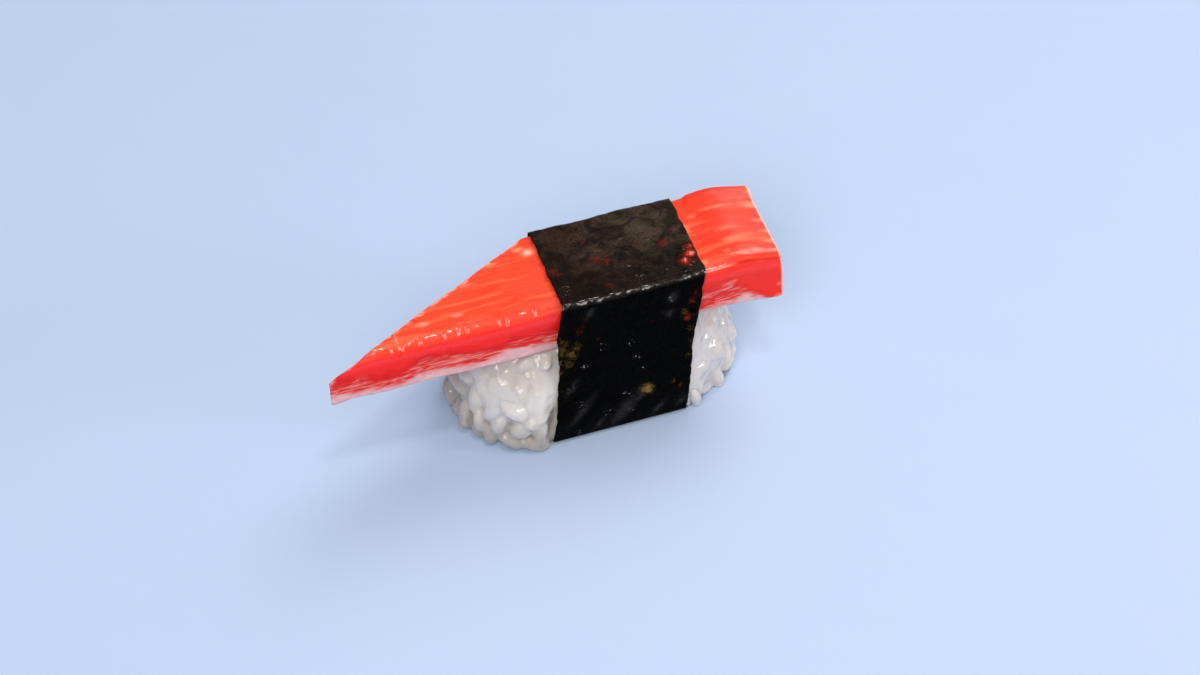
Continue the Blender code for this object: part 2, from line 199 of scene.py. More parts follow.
PAD_MIDDLE_X = 7.0 * MM
PAD_LEFT_LENGTH, PAD_RIGHT_LENGTH = 27.9 * MM, 31.0 * MM
PAD_HALF_WIDTH = 17.2 * MM
PAD_PINCH = 1.9 * MM  # how far the strip presses each side in
PAD_BULGE = 1.4 * MM  # of the near side, pressed out past the strip's left edge
PAD_BULGE_X, PAD_BULGE_REACH = -9.0 * MM, 8.0 * MM
PAD_FAR_FLAT = 0.4 * MM  # how much less the far side stands out
BULGE_START = 4.0 * MM  # how far from the strip's edges the pad has its full width again
PAD_TOP = 20.5 * MM
PAD_WAIST = 3.0 * MM
PAD_CROWN = 23.5 * MM  # from the waist up to where the rounded section would close
PAD_FOOT = 7.0 * MM  # and from the waist down
PAD_UPPER_POWER, PAD_LOWER_POWER = 2.1, 3.5
PAD_LEFT_POWER, PAD_RIGHT_POWER = 2.4, 2.3
PAD_SLICES = (44, 22, 20)  # along X, Y and Z

GRAIN_LENGTH = 6.2 * MM
GRAIN_THICKNESS = 3.1 * MM
GRAIN_BEND = 0.45 * MM
GRAIN_BLUNT = 0.12  # over 0: its ends are blunter than an egg's
CORE_DEPTH = 0.2 * MM  # where the grains are pressed into one mass
LOOSE_DEPTH = 2.1 * MM  # and how much deeper it is where they lie loose
EDGE_REACH = 2.5 * MM  # how far in under the strip's edges there are still grains
GRAINS_IN = 3.5 * MM  # how far in under them the core still lies deeper
SEEN_ROOM = 0.7 * MM  # more room round the grains that stand out
PRESSED_IN = 0.25  # mm that the grains lie deeper where they are pressed into one mass
SPOT_TRIES = 20000
LOWEST_SPOT = 0.4 * MM
COVERED = 1.0 * MM  # how far in under the stick a spot is hidden
SINK_TRIES, SINK_STEP = 12, 0.15  # a grain in the way is sunk by steps, in mm
SEEN_DEPTH, SEEN_TILT = 1.15, -0.12  # mm for a grain of full size, and radians
FREE_FROM, FREE_SHARE = 0.6, 0.12  # looseness past which this share of the grains stays free
GROOVE = 0.09 * MM  # left between two grains there
RICE_SEED = 11
FUSING_GRID = 0.3 * MM
TOUCH = 0.12 * MM  # least gap from a grain to the stick or the strip
NEAR_LIMIT = cad_box[0][1] + 0.02 * MM  # no grain stands out further than the solid
# Layers of grains: their spacing along the outline, and how far their middles lie below it, in mm
LAYERS = ((2.6, 2.4), (3.1, 1.45))
# Grains that stand out in the photo, low on the near side and at both ends: a point of the outline
# in mm, the turn of the grain's axis from downhill in degrees, and its size
SEEN_GRAINS = (
    (-20.9, 0.0, 5.4, 5, 0.95), (-19.7, -6.4, 5.4, -8, 0.95), (-17.6, -10.0, 5.7, 6, 0.95),
    (-15.9, -11.9, 3.0, -12, 1.05), (-14.4, -12.9, 6.0, -20, 1.15), (-12.6, -14.4, 2.4, 70, 1.05),
    (-10.3, -15.8, 5.8, -52, 1.3), (-8.2, -16.5, 1.9, 80, 1.1), (-6.6, -16.6, 8.2, -70, 1.15),
    (-11.6, -14.1, 10.2, 60, 1.15), (-15.2, -12.0, 9.3, -30, 1.1), (-17.9, -8.2, 10.0, 12, 1.0),
    (36.6, -5.5, 8.0, 4, 1.15), (34.4, -9.4, 4.5, -14, 1.0), (31.6, -11.8, 1.9, 8, 0.9),
    (26.4, -14.2, 4.4, 0, 1.0), (27.2, -13.6, 8.3, 84, 1.0), (31.8, -10.9, 9.0, -6, 1.3),
    (-6.3, -16.0, 2.8, 4, 1.0), (-6.2, -16.3, 5.2, -14, 1.0),
)
STRAY_GRAIN = (25.1 * MM, -14.6 * MM, 2.4 * MM)  # stands at the foot of the strip's right edge
STRAY_LEAN, STRAY_SIZE = math.radians(78), 0.86

NORI_MIDDLE_X = 14.7 * MM
NORI_WIDTH = 28.4 * MM
NORI_WAIST_WIDTH = 26.8 * MM  # below the stick, where the strip has drawn in
NORI_NEAR_SKEW, NORI_FAR_SKEW = -5.4 * MM, 1.0 * MM  # how far it drifts along X at its feet
NORI_SKEW_POWER = 0.75  # under 1: it drifts soonest near the top
NORI_DRAWN_FROM, NORI_DRAWN_TO = 6 * MM, 14 * MM  # below its top, between which it draws in
NORI_TUCK = 9.0 * MM  # how far each end reaches in under the pad
RECESS_TOP, RECESS_MARGIN = 1.19 * MM, 0.8 * MM  # room under the pad for the strip's tucked ends
STICK_TOP = 31.3 * MM
STICK_WIDTH = 21.8 * MM
STICK_LENGTH = 90.0 * MM
BIAS_ANGLE = math.radians(28.6)  # from the stick's length
BIAS_ROLL_IN = 2.5 * MM  # the soft upper edge of the cut has rolled in by this much,
BIAS_ROLL_HEIGHT = 4.2 * MM  # over this height


def smoothstep(low, high, value):
    share = min(1.0, max(0.0, (value - low) / (high - low)))
    return share * share * (3.0 - 2.0 * share)


def hump(off, reach):
    """1 at no distance, falling to almost nothing at twice the reach."""
    return math.exp(-((off / reach) ** 2))


def slice_across(mesh, axis, start, stop, count):
    """Adds loops of edges on evenly spaced planes across one axis."""
    normal = Vector((0.0, 0.0, 0.0))
    normal[axis] = 1.0
    for i in range(1, count):
        geometry = mesh.verts[:] + mesh.edges[:] + mesh.faces[:]
        place = normal * (start + (stop - start) * i / count)
        bmesh.ops.bisect_plane(mesh, geom=geometry, dist=1e-7, plane_co=place, plane_no=normal)


def strip_edges(y, z):
    """The X of the nori strip's two side edges where it passes y and z."""
    drop = (1 - max(0.0, min(z, STICK_TOP)) / STICK_TOP) ** NORI_SKEW_POWER
    middle = NORI_MIDDLE_X + drop * (NORI_NEAR_SKEW if y < 0 else NORI_FAR_SKEW)
    drawn_in = smoothstep(STICK_TOP - NORI_DRAWN_FROM, STICK_TOP - NORI_DRAWN_TO, z)
    half = (NORI_WIDTH + (NORI_WAIST_WIDTH - NORI_WIDTH) * drawn_in) / 2
    return middle - half, middle + half


def under_strip(point, inward=0.0):
    """1 where the strip holds the pad, falling to 0 past both of its edges or inward of them."""
    left, right = strip_edges(point.y, point.z)
    past_left = smoothstep(left + inward - BULGE_START, left + inward, point.x)
    return past_left * smoothstep(right - inward + BULGE_START, right - inward, point.x)


def section_reach(v, w):
    """How many times further out than the pad's section a point lies, for v across and w up."""
    power = PAD_UPPER_POWER if w > 0 else PAD_LOWER_POWER
    return (abs(v) ** power + abs(w) ** power) ** (1 / power)


def looseness(point):
    """0 where the grains are pressed into one mass, 1 where each still lies free."""
    patchy = 0.25 * noise.noise(point * 130)  # in patches of 8 mm
    if point.x < PAD_MIDDLE_X:
        loose = 0.05 + 0.75 * smoothstep(10 * MM, 5.5 * MM, point.z)
        loose += 0.6 * smoothstep(-15 * MM, -19 * MM, point.x)
    else:
        loose = 0.05 + 0.45 * smoothstep(6 * MM, 2.5 * MM, point.z)
        loose += 0.15 * smoothstep(28 * MM, 34 * MM, point.x)
    loose += 0.5 * smoothstep(-2 * MM, 8 * MM, point.y)
    return min(1.0, max(0.0, loose + patchy))


def half_width(x, side):
    """How far the pad's widest place stands out, past the strip, on the near (-) or the far side."""
    if side > 0:
        return PAD_HALF_WIDTH - PAD_FAR_FLAT
    return PAD_HALF_WIDTH + PAD_BULGE * hump(x - PAD_BULGE_X, PAD_BULGE_REACH)


def core_depth(skin):
    """How far the core lies inside the outline at a point of it."""
    # Lumps of 5 mm and of 2 mm, and of 6 mm at the right end
    lumps = 0.3 * noise.noise(skin * 220) + 0.3 * noise.noise(skin * 420)
    lumps += 0.6 * noise.noise(skin * 170) * smoothstep(20 * MM, 26 * MM, skin.x)
    return CORE_DEPTH + LOOSE_DEPTH * looseness(skin) + lumps * MM


def pad_form(depth_at):
    """The pad's outline, or the core inside it: a sliced cube drawn onto a rounded oblong."""
    mesh = bmesh.new()
    bmesh.ops.create_cube(mesh, size=2.0)
    for axis, count in enumerate(PAD_SLICES):
        slice_across(mesh, axis, -1.0, 1.0, count)
    for vert in mesh.verts:
        u, v, w = vert.co
        length = PAD_LEFT_LENGTH if u < 0 else PAD_RIGHT_LENGTH
        crown = PAD_CROWN if w > 0 else PAD_FOOT
        end_power = PAD_LEFT_POWER if u < 0 else PAD_RIGHT_POWER
        reach = section_reach(v, w)
        out = vert.co / (abs(u) ** end_power + reach**end_power) ** (1 / end_power)
        width = half_width(PAD_MIDDLE_X + length * out.x, v)
        skin = Vector((PAD_MIDDLE_X + length * out.x, width * out.y, PAD_WAIST + crown * out.z))
        hidden = under_strip(skin)
        held = Vector((out.x, v / reach, w / reach)) if hidden > 0 else out
        out = out.lerp(held, hidden)
        width += (PAD_HALF_WIDTH - PAD_PINCH - width) * hidden
        inward = depth_at(skin) * (1 - under_strip(skin, GRAINS_IN * smoothstep(2 * MM, 8 * MM, skin.z)))
        x = PAD_MIDDLE_X + (length - inward) * out.x
        y = (width - inward) * out.y
        z = PAD_WAIST + (crown - inward) * out.z
        vert.co = (x, y, min(PAD_TOP, z))
    mesh.normal_update()
    return mesh


def grain_mesh(around, along):
    """One plump, blunt, slightly bent grain along X."""
    mesh = bmesh.new()
    bmesh.ops.create_uvsphere(mesh, u_segments=around, v_segments=along, radius=1.0)
    bmesh.ops.rotate(mesh, verts=mesh.verts, matrix=Matrix.Rotation(math.radians(90), 3, "Y"))
    for vert in mesh.verts:
        reach, across, up = vert.co
        blunt = (1 - reach**2) ** -GRAIN_BLUNT if abs(reach) < 0.99 else 1.0
        across *= blunt * GRAIN_THICKNESS / 2
        up *= blunt * GRAIN_THICKNESS / 2
        vert.co = (reach * GRAIN_LENGTH / 2, across, up - GRAIN_BEND * reach * reach)
    data = bpy.data.meshes.new("grain")
    mesh.to_mesh(data)
    mesh.free()
    return data


def bias_planes():
    """The bias cut as two points with outward normals: its upright face, and its rolled upper edge."""
    tip = Vector((-STICK_LENGTH / 2, -STICK_WIDTH / 2, STICK_TOP))
    across = Vector((-math.sin(BIAS_ANGLE), math.cos(BIAS_ANGLE), 0.0))
    lean = math.atan2(BIAS_ROLL_IN, BIAS_ROLL_HEIGHT)
    rolled = across * math.cos(lean) + Vector((0.0, 0.0, math.sin(lean)))
    return (tip, across), (tip - across * BIAS_ROLL_IN, rolled)


def spread_spots(form, spacing, taken, rng):
    """Places and normals on the pad, evenly apart, where stick and strip leave rice to be seen."""
    cut_place, cut_normal = bias_planes()[0]
    corners = [[v.co.copy() for v in face.verts] for face in form.faces]
    normals = [face.normal.copy() for face in form.faces]
    areas = [face.calc_area() for face in form.faces]
    spots = []
    for number in rng.choices(range(len(corners)), areas, k=SPOT_TRIES):
        face = corners[number]
        a, b = rng.random(), rng.random()
        low, high = face[0].lerp(face[1], a), face[-1].lerp(face[-2], a)
        spot = low.lerp(high, b)
        on_top = spot.z > PAD_TOP - 0.1 * MM
        in_cut = (spot - cut_place).dot(cut_normal) < -COVERED
        if on_top and in_cut and abs(spot.y) < STICK_WIDTH / 2 - COVERED:
            continue
        left, right = strip_edges(spot.y, spot.z)
        if left + EDGE_REACH < spot.x < right - EDGE_REACH or spot.z < LOWEST_SPOT:
            continue
        apart = all((spot - other).length > spacing for other, _ in spots)
        if apart and all((spot - other).length > spacing + SEEN_ROOM for other in taken):
            spots.append((spot, normals[number]))
    return spots


def clear_of(neighbours, data, move):
    """True where a grain crosses no neighbour and keeps the gap to it."""
    points = [move @ vert.co for vert in data.vertices]
    grain = BVHTree.FromPolygons(points, [face.vertices for face in data.polygons])
    for other in neighbours:
        if grain.overlap(other):
            return False
        if any(other.find_nearest(point, TOUCH)[0] is not None for point in points):
            return False
    return True


def grain_move(spot, normal, depth, swing, tilt, size):
    """Lays a grain at a depth under the outline, its axis turned by swing from downhill."""
    level_top = normal.z > 0.999
    downhill = Vector((1, 0, 0)) if level_top else Vector((0, 0, -1)) + normal * normal.z
    axis = Matrix.Rotation(swing, 3, normal) @ downhill.normalized()
    turn = Matrix((axis, normal.cross(axis), normal)).transposed().to_4x4()
    turn = turn @ Matrix.Rotation(tilt, 4, "Y") @ Matrix.Diagonal((*size, 1))
    return Matrix.Translation(spot - normal * depth * MM) @ turn


rng = random.Random(RICE_SEED)
outline = pad_form(lambda skin: 0.0)
outline_tree = BVHTree.FromBMesh(outline)
core = pad_form(core_depth)
graph = bpy.context.evaluated_depsgraph_get()
neighbours = [BVHTree.FromObject(bpy.data.objects[name], graph) for name in ("surimi_stick", "nori_band")]
coarse_grain = grain_mesh(8, 7)
hanging = Matrix.Rotation(STRAY_LEAN, 4, "Y") @ Matrix.Scale(STRAY_SIZE, 4)
free_moves = [Matrix.Translation(STRAY_GRAIN) @ hanging]
fused_moves, top_moves, taken = [], [], []
for x, y, z, swing, size in SEEN_GRAINS:
    spot, normal, _, _ = outline_tree.find_nearest(Vector((x, y, z)) * MM)
    for attempt in range(SINK_TRIES):
        depth = SEEN_DEPTH * size + SINK_STEP * attempt
        move = grain_move(spot, normal, depth, math.radians(swing), SEEN_TILT, (1.0, size, size))
        if clear_of(neighbours, coarse_grain, move):
            fused_moves.append(move)
            top_moves.append(move)
            taken.append(spot)
            break
for spacing, layer_depth in LAYERS:
    showing = (spacing, layer_depth) == LAYERS[-1]
    for spot, normal in spread_spots(outline, spacing * MM, taken if showing else [], rng):
        # A pressed grain lies flat and any way round; a loose one hangs downhill
        loose = looseness(spot)
        swing = rng.uniform(-1, 1) * math.pi * (0.9 - 0.5 * loose)
        tilt = rng.uniform(-0.35, 0.1) * (0.3 + 0.7 * loose)
        size = (rng.uniform(0.9, 1.12), rng.uniform(0.92, 1.1), rng.uniform(0.9, 1.05))
        jitter = rng.uniform(-0.1, 0.6) * (0.4 + 0.6 * loose) + PRESSED_IN * (1 - loose)
        for attempt in range(SINK_TRIES):
            depth = layer_depth + jitter + SINK_STEP * attempt
            move = grain_move(spot, normal, depth, swing, tilt, size)
            if clear_of(neighbours, coarse_grain, move):
                free = showing and loose > FREE_FROM and rng.random() < FREE_SHARE
                (free_moves if free else fused_moves).append(move)
                if showing and not free:
                    top_moves.append(move)
                break

for move in fused_moves:
    core.from_mesh(coarse_grain)
    core.verts.ensure_lookup_table()
    bmesh.ops.transform(core, matrix=move, verts=core.verts[-len(coarse_grain.vertices) :])

# Cooked rice starch: moist, white and slightly see-through, so that light sinks in. Some grains
# are chalkier at heart than others. Shade is painted into its colour where grains meet, in the deep
# hollows, high up under the stick, at the foot and at the left end, and light and shade at the right end.
rice_starch, tree, shader = new_material("moist_cooked_rice")
place = add_node("TexCoord", output="Object")
along_pad, _, height = add_node("SeparateXYZ", [place]).node.outputs
tone, sunken, seam = (
    add_node("Attribute", output="Fac", attribute_name=name) for name in ("tone", "sunken", "seam")
)
# Noises by the size of their spots in mm, and their detail
chalky, warmth, moist, fine_grit, grit, lumps = (
    add_node("TexNoise", {"Vector": place, "Scale": 1 / (size * MM), "Detail": detail})
    for size, detail in ((2.4, 3), (9.0, 1), (3.8, 1), (0.9, 1), (2.6, 1), (1.7, 0))
)

chalk = add_node("Math", (chalky, 0.45), operation="MULTIPLY")
chalk = add_node("Math", (tone, 0.55, chalk), operation="MULTIPLY_ADD")
# Painted shade: darker towards the bottom, except at the right end, and over the left end
foot = all_of((height, 11 * MM, 0.5 * MM), (along_pad, 20 * MM, 5 * MM))
foot = add_node("Math", (foot, all_of((along_pad, -15 * MM, -21 * MM))), operation="MAXIMUM")
tint = layered(
    "#C6BEB5",
    ("#C2C0C2", (warmth, 0.4, 0.6)),
    ("#E8E1DC", (chalk,)),
    # Painted light and shade: the right end's own cooler grey-white, set to even out how bright it looks
    ("#CDC5C3", (along_pad, 15 * MM, 28 * MM, 0.0, 0.8)),
    # Painted shade: greyer and darker high up, where the stick shades the rice
    ("#AEA298", (height, 13 * MM, 18 * MM, 0.0, 0.4)),
    # Painted shade: darker where two grains meet
    ("#A89F97", (seam,), (0.22,)),
    # Painted shade: darker in the hollows that lie deep below the pad's outline
    ("#948B83", (sunken, 0.6, 1.8, 0.0, 0.6)),
    # Painted shade at the foot and the left end
    ("#887C73", (foot,), (0.72,)),
)
grit = add_node("Math", (fine_grit, 0.2, grit), operation="MULTIPLY_ADD")
fill(shader, {
    "Base Color": tint,
    "Roughness": all_of((moist, 0.35, 0.65, 0.25, 0.42)),
    "Normal": add_node("Bump", {"Strength": 0.6, "Distance": 0.5 * MM, "Height": grit}),
    "Coat Normal": add_node("Bump", {"Strength": 1.0, "Distance": 0.9 * MM, "Height": lumps}),
    "Subsurface Weight": 0.85, "Subsurface Radius": (1.2, 1.1, 1.0), "Subsurface Scale": 1.3 * MM,
    "IOR": 1.4, "Specular IOR Level": 0.2, "Coat Weight": 1.0, "Coat Roughness": 0.12,
})


def smooth(mesh, verts, factor, turns=1):
    """Evens the mesh out at some vertices: each moves by this factor towards its neighbours' middle."""
    for _ in range(turns):
        bmesh.ops.smooth_vert(
            mesh, verts=verts, factor=factor, use_axis_x=True, use_axis_y=True, use_axis_z=True
        )


rice = object_from(core, "rice_mass", rice_starch)
fuse = rice.modifiers.new("fuse", "REMESH")
fuse.mode = "VOXEL"
fuse.voxel_size = FUSING_GRID
graph = bpy.context.evaluated_depsgraph_get()
fused = bpy.data.meshes.new_from_object(rice.evaluated_get(graph))
rice.modifiers.clear()
rice.data = fused

mesh = bmesh.new()
mesh.from_mesh(fused)
pressed = [vert for vert in mesh.verts if looseness(vert.co) < 0.4]
right_end = [vert for vert in pressed if vert.co.x > 22 * MM]
under_stick = [vert for vert in mesh.verts if vert.co.x < 8 * MM and vert.co.y < 0 and vert.co.z > 9 * MM]
for verts, turns in ((pressed, 3), (right_end, 8), (under_stick, 8), (mesh.verts, 3)):
    smooth(mesh, verts, 0.5, turns)
centres = KDTree(len(top_moves))
for number, move in enumerate(top_moves):
    centres.insert(move.translation, number)
centres.balance()
into_grain = [move.inverted() for move in top_moves]
shade = [rng.random() for _ in top_moves]


def grains_near(point):
    """The showing grains nearest to a point: how many of their own half sizes away, and which."""
    found = []
    for _, number, _ in centres.find_n(point, 6):
        x, y, z = into_grain[number] @ point
        away = math.hypot(2 * x / GRAIN_LENGTH, 2 * y / GRAIN_THICKNESS, 2 * z / GRAIN_THICKNESS)
        found.append((away, number))
    return sorted(found)


def add_layers(mesh, *names):
    """Adds layers of one number at each vertex, which a material reads by their names."""
    return [mesh.verts.layers.float.new(name) for name in names]


# How chalky a grain is, 1 where two grains meet, and how far below the pad's outline in mm
tone, seam, sunken = add_layers(mesh, "tone", "seam", "sunken")
mesh.normal_update()
grooves = []
for vert in mesh.verts:
    near = grains_near(vert.co)
    weights = [1 / (away + 0.1) ** 4 for away, _ in near]
    vert[tone] = sum(w * shade[number] for w, (_, number) in zip(weights, near)) / sum(weights)
    vert[seam] = 1 - smoothstep(0.0, 0.28, near[1][0] - near[0][0])
    vert[seam] *= smoothstep(-0.1, 0.35, noise.noise(vert.co * 260) + 0.4 * looseness(vert.co))
    vert[seam] *= 1 - 0.8 * smoothstep(20 * MM, 25 * MM, vert.co.x)
    grooves.append(GROOVE * vert[seam] * (1 - looseness(vert.co)) * (1 - under_strip(vert.co)))
for vert, groove in zip(mesh.verts, grooves):
    vert.co -= vert.normal * groove
smooth(mesh, mesh.verts, 0.4)
for vert in mesh.verts:
    left, right = strip_edges(vert.co.y, 0)
    under_ends = left - RECESS_MARGIN < vert.co.x < right + RECESS_MARGIN
    over_tuck = abs(vert.co.y) > PAD_HALF_WIDTH - NORI_TUCK - MM
    floor = RECESS_TOP if under_ends and over_tuck else 0.0
    vert.co.z = max(floor, vert.co.z)
    vert.co.y = max(NEAR_LIMIT, vert.co.y)
    vert[sunken] = outline_tree.find_nearest(vert.co)[3] / MM
mesh.to_mesh(rice.data)
mesh.free()
rice.data.shade_smooth()
rice.data.materials.clear()
rice.data.materials.append(rice_starch)


# ---- Free grains ----
# The grains that the palm left standing: low on the sides and at both ends of the pad, each sunk
# by its own starch into its neighbours, and one stray that hangs at the strip's foot.

mesh = bmesh.new()
tone = add_layers(mesh, "tone", "seam", "sunken")[0]
for move in free_moves:
    mesh.from_mesh(coarse_grain)
    mesh.verts.ensure_lookup_table()
    verts = mesh.verts[-len(coarse_grain.vertices) :]
    shade = rng.random()
    for vert in verts:
        heart = 1 - (2 * abs(vert.co.x) / GRAIN_LENGTH) ** 2
        vert[tone] = shade * 0.7 + 0.3 * heart
    bmesh.ops.transform(mesh, matrix=move, verts=verts)
    for vert in verts:
        vert.co.z = max(0.0, vert.co.z)
        vert.co.y = max(NEAR_LIMIT, vert.co.y)
grains = object_from(mesh, "rice_grains", rice_starch)
plump = grains.modifiers.new("plump", "SUBSURF")
plump.levels = plump.render_levels = 1
for piece in (rice, grains):
    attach(piece, "root")
    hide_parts("rice_pad")


# ---- Surimi stick ----
# Surimi is white fish paste set as a thin sheet, combed into strands and rolled into a bar. The
# outside is dyed red; the underside and both cuts stay white. The left end is sliced on the
# bias, and steam has left the skin wet and wrinkled along its near edge.

STICK_BOTTOM = 20.8 * MM
STICK_NEAR_RADIUS, STICK_FAR_RADIUS = 3.2 * MM, 1.3 * MM
STICK_LOWER_RADIUS, STICK_CORNER_RADIUS = 0.6 * MM, 1.0 * MM
STICK_SPARE = 10 * MM  # of raw length, cut off again by the bias
STICK_RELIEF = 0.3 * MM  # depth of the slow hollows in its faces
FAR_DYE_EDGE, FAR_FLESH_EDGE = 24.4 * MM, 22.6 * MM  # as below, on the far side
DYE_SKIN, STRAND_SKIN = 0.4 * MM, 0.9 * MM  # how deep each goes in where the stick is cut
STICK_SLICES = (300, 46, 22)  # along X, Y and Z
DROOP_START_X, DROOP = 33.0 * MM, 1.4 * MM
SWELL_X, SWELL_REACH = 37.0 * MM, 5.5 * MM  # where the stick is thickest, past the strip's pinch
SWELL = 0.5 * MM  # of its upper and of its lower face
TIP_X, TIP_REACH = -40.5 * MM, 2.5 * MM  # where the tip's top is rolled down
TIP_DROP = 0.5 * MM
RIDGE_IN = 0.9 * MM  # from both outer faces in to the middle of the near upper edge
# X and height in mm of the dye's lower edge on the near side, and of the white flesh's upper edge
DYE_EDGE = (
    (-45, 26.2), (-39, 25.3), (-34, 24.2), (-31, 24.4), (-27, 26.6), (-22, 26.0), (-18, 25.4),
    (-13, 24.6), (-8, 25.6), (-1, 25.2), (28, 25.2), (34, 26.3), (36, 24.6), (39, 22.3), (42, 20.7),
    (45, 18.8),
)
FLESH_EDGE = (
    (-45, 23.2), (-39, 22.1), (-32, 21.9), (-27, 22.8), (-22, 22.7), (-18, 22.0), (-13, 22.4),
    (-10, 23.8), (-5, 22.8), (0, 22.6), (28, 21.2), (34, 21.5), (37, 22.6), (39, 22.2), (42, 20.7),
    (45, 18.6),
)
# X in mm of the small wrinkles across the near upper edge, and how deep each is
WRINKLES = (
    (-32.6, 0.8), (-31.3, 1.2), (-30.1, 0.9), (-27.0, 1.2), (-22.5, 1.1), (-19.4, 0.6), (-17.9, 1.3),
    (-11.9, 0.7), (-9.9, 1.4), (-4.7, 1.2),
)
# Pale marks in the dye of the top: X and Y in mm, half length, half width, and how pale. The first
# rows are the right part's dashes, then the fingers at its end, then the left part's blotches.
TOP_MARKS = (
    (31.2, 4.6, 1.8, 1.2, 0.5), (36.2, 5.4, 4.6, 0.8, 0.55), (29.4, 1.6, 0.8, 1.8, 0.7),
    (36.4, -0.9, 2.6, 0.9, 0.6), (33.4, -2.3, 1.6, 0.4, 0.35), (36.3, -4.2, 2.6, 0.9, 0.6),
    (34.6, -7.0, 1.1, 0.8, 0.65), (37.2, -8.2, 1.9, 0.8, 0.55), (39.9, -7.7, 1.9, 0.6, 0.6),
    (29.5, -8.3, 1.0, 1.1, 0.7), (32.0, 0.6, 2.4, 0.4, 0.3), (31.6, -5.4, 2.2, 0.5, 0.3),
    (45.2, 4.9, 4.4, 1.3, 0.9), (45.2, 8.4, 2.6, 0.9, 0.7), (45.2, 0.4, 3.4, 0.6, 1.0),
    (45.2, -2.8, 3.0, 0.7, 1.0), (45.2, -5.5, 3.4, 0.7, 0.9), (45.2, -8.3, 2.4, 0.5, 0.8),
    (-1.2, 5.9, 1.5, 1.2, 1.15), (-2.8, 7.3, 1.4, 0.9, 0.95), (-9.2, 5.2, 2.4, 0.6, 0.8),
    (-18.5, -5.8, 1.6, 0.7, 0.85), (-25.2, -6.0, 1.5, 0.8, 0.9), (-27.9, -4.7, 1.2, 0.7, 0.85),
    (-30.4, -5.8, 1.0, 0.8, 0.9), (-30.9, -7.8, 0.3, 1.7, 0.9), (-15.0, 1.4, 2.0, 0.6, 0.7),
    (-14.0, -3.0, 3.2, 0.35, 0.3), (-6.5, 1.4, 3.6, 0.4, 0.3), (-9.0, -5.6, 3.4, 0.4, 0.3),
)
# The same on the near side, by X and height
SIDE_MARKS = (
    (34.2, 26.9, 1.3, 0.5, 0.6), (44.0, 21.0, 1.8, 1.0, 0.9), (43.8, 24.2, 1.0, 0.6, 0.7),
    (31.0, 23.4, 1.2, 0.8, 0.5), (-22.6, 26.4, 1.0, 0.5, 0.5), (-38.5, 26.6, 2.4, 0.35, 0.4),
)


def edge_height(marks, x):
    """The height of a drawn edge at x, eased from mark to mark."""
    for (x0, z0), (x1, z1) in zip(marks, marks[1:]):
        if x <= x1 * MM:
            break
    return (z0 + (z1 - z0) * smoothstep(x0 * MM, x1 * MM, x)) * MM


def paleness(marks, x, second):
    """How pale the drawn marks make a place, given in mm."""
    return max(
        pale * math.exp(-(((x - a) / long) ** 2) - ((second - b) / wide) ** 2)
        for a, b, long, wide, pale in marks
    )


def round_edges(mesh, wanted, radius, segments):
    edges = [edge for edge in mesh.edges if wanted(*(v.co for v in edge.verts))]
    bmesh.ops.bevel(
        mesh, geom=edges, offset=radius, segments=segments, profile=0.5, affect="EDGES", material=-1
    )


mesh = bmesh.new()
bmesh.ops.create_cube(mesh, size=1.0)
raw_length = STICK_LENGTH + STICK_SPARE
bmesh.ops.scale(mesh, vec=(raw_length, STICK_WIDTH, STICK_TOP - STICK_BOTTOM), verts=mesh.verts)
middle = Vector(((STICK_LENGTH - raw_length) / 2, 0.0, (STICK_BOTTOM + STICK_TOP) / 2))
bmesh.ops.translate(mesh, vec=middle, verts=mesh.verts)


def lengthwise(a, b):
    return abs(a.x - b.x) > STICK_WIDTH


def upper(a):
    return a.z > STICK_TOP - 0.1 * MM


round_edges(mesh, lambda a, b: lengthwise(a, b) and not upper(a), STICK_LOWER_RADIUS, 2)
round_edges(mesh, lambda a, b: lengthwise(a, b) and upper(a) and a.y < 0, STICK_NEAR_RADIUS, 12)
round_edges(mesh, lambda a, b: lengthwise(a, b) and upper(a) and a.y > 0, STICK_FAR_RADIUS, 6)
round_edges(mesh, lambda a, b: min(a.x, b.x) > STICK_LENGTH / 2 - MM, STICK_CORNER_RADIUS, 4)
for cut_place, cut_normal in bias_planes():
    geometry = mesh.verts[:] + mesh.edges[:] + mesh.faces[:]
    cut = bmesh.ops.bisect_plane(
        mesh, geom=geometry, dist=1e-7, plane_co=cut_place, plane_no=cut_normal, clear_outer=True
    )
    rim = [item for item in cut["geom_cut"] if isinstance(item, bmesh.types.BMEdge)]
    bmesh.ops.holes_fill(mesh, edges=rim, sides=0)
slice_across(mesh, 0, -STICK_LENGTH / 2, STICK_LENGTH / 2, STICK_SLICES[0])
slice_across(mesh, 1, -STICK_WIDTH / 2, STICK_WIDTH / 2, STICK_SLICES[1])
slice_across(mesh, 2, STICK_BOTTOM, STICK_TOP, STICK_SLICES[2])
bmesh.ops.remove_doubles(mesh, verts=mesh.verts, dist=0.06 * MM)
mesh.normal_update()

# In mm: how far above the dye's lower edge (below 0 in the cuts), and above the white flesh's upper
# edge, how deep below the skin in the cuts, how far from the nearest cut, and how far below the top.
# Then how pale it is, and 1 where it is wet, along the near upper edge.
dye, strands, depth, margin, drop, pale, wet = add_layers(
    mesh, "dye", "strands", "depth", "margin", "drop", "pale", "wet"
)
(cut_place, cut_normal), (roll_place, roll_normal) = bias_planes()


def from_ridge(p):
    return math.hypot(p.y + STICK_WIDTH / 2 - RIDGE_IN, p.z - STICK_TOP + RIDGE_IN) / MM


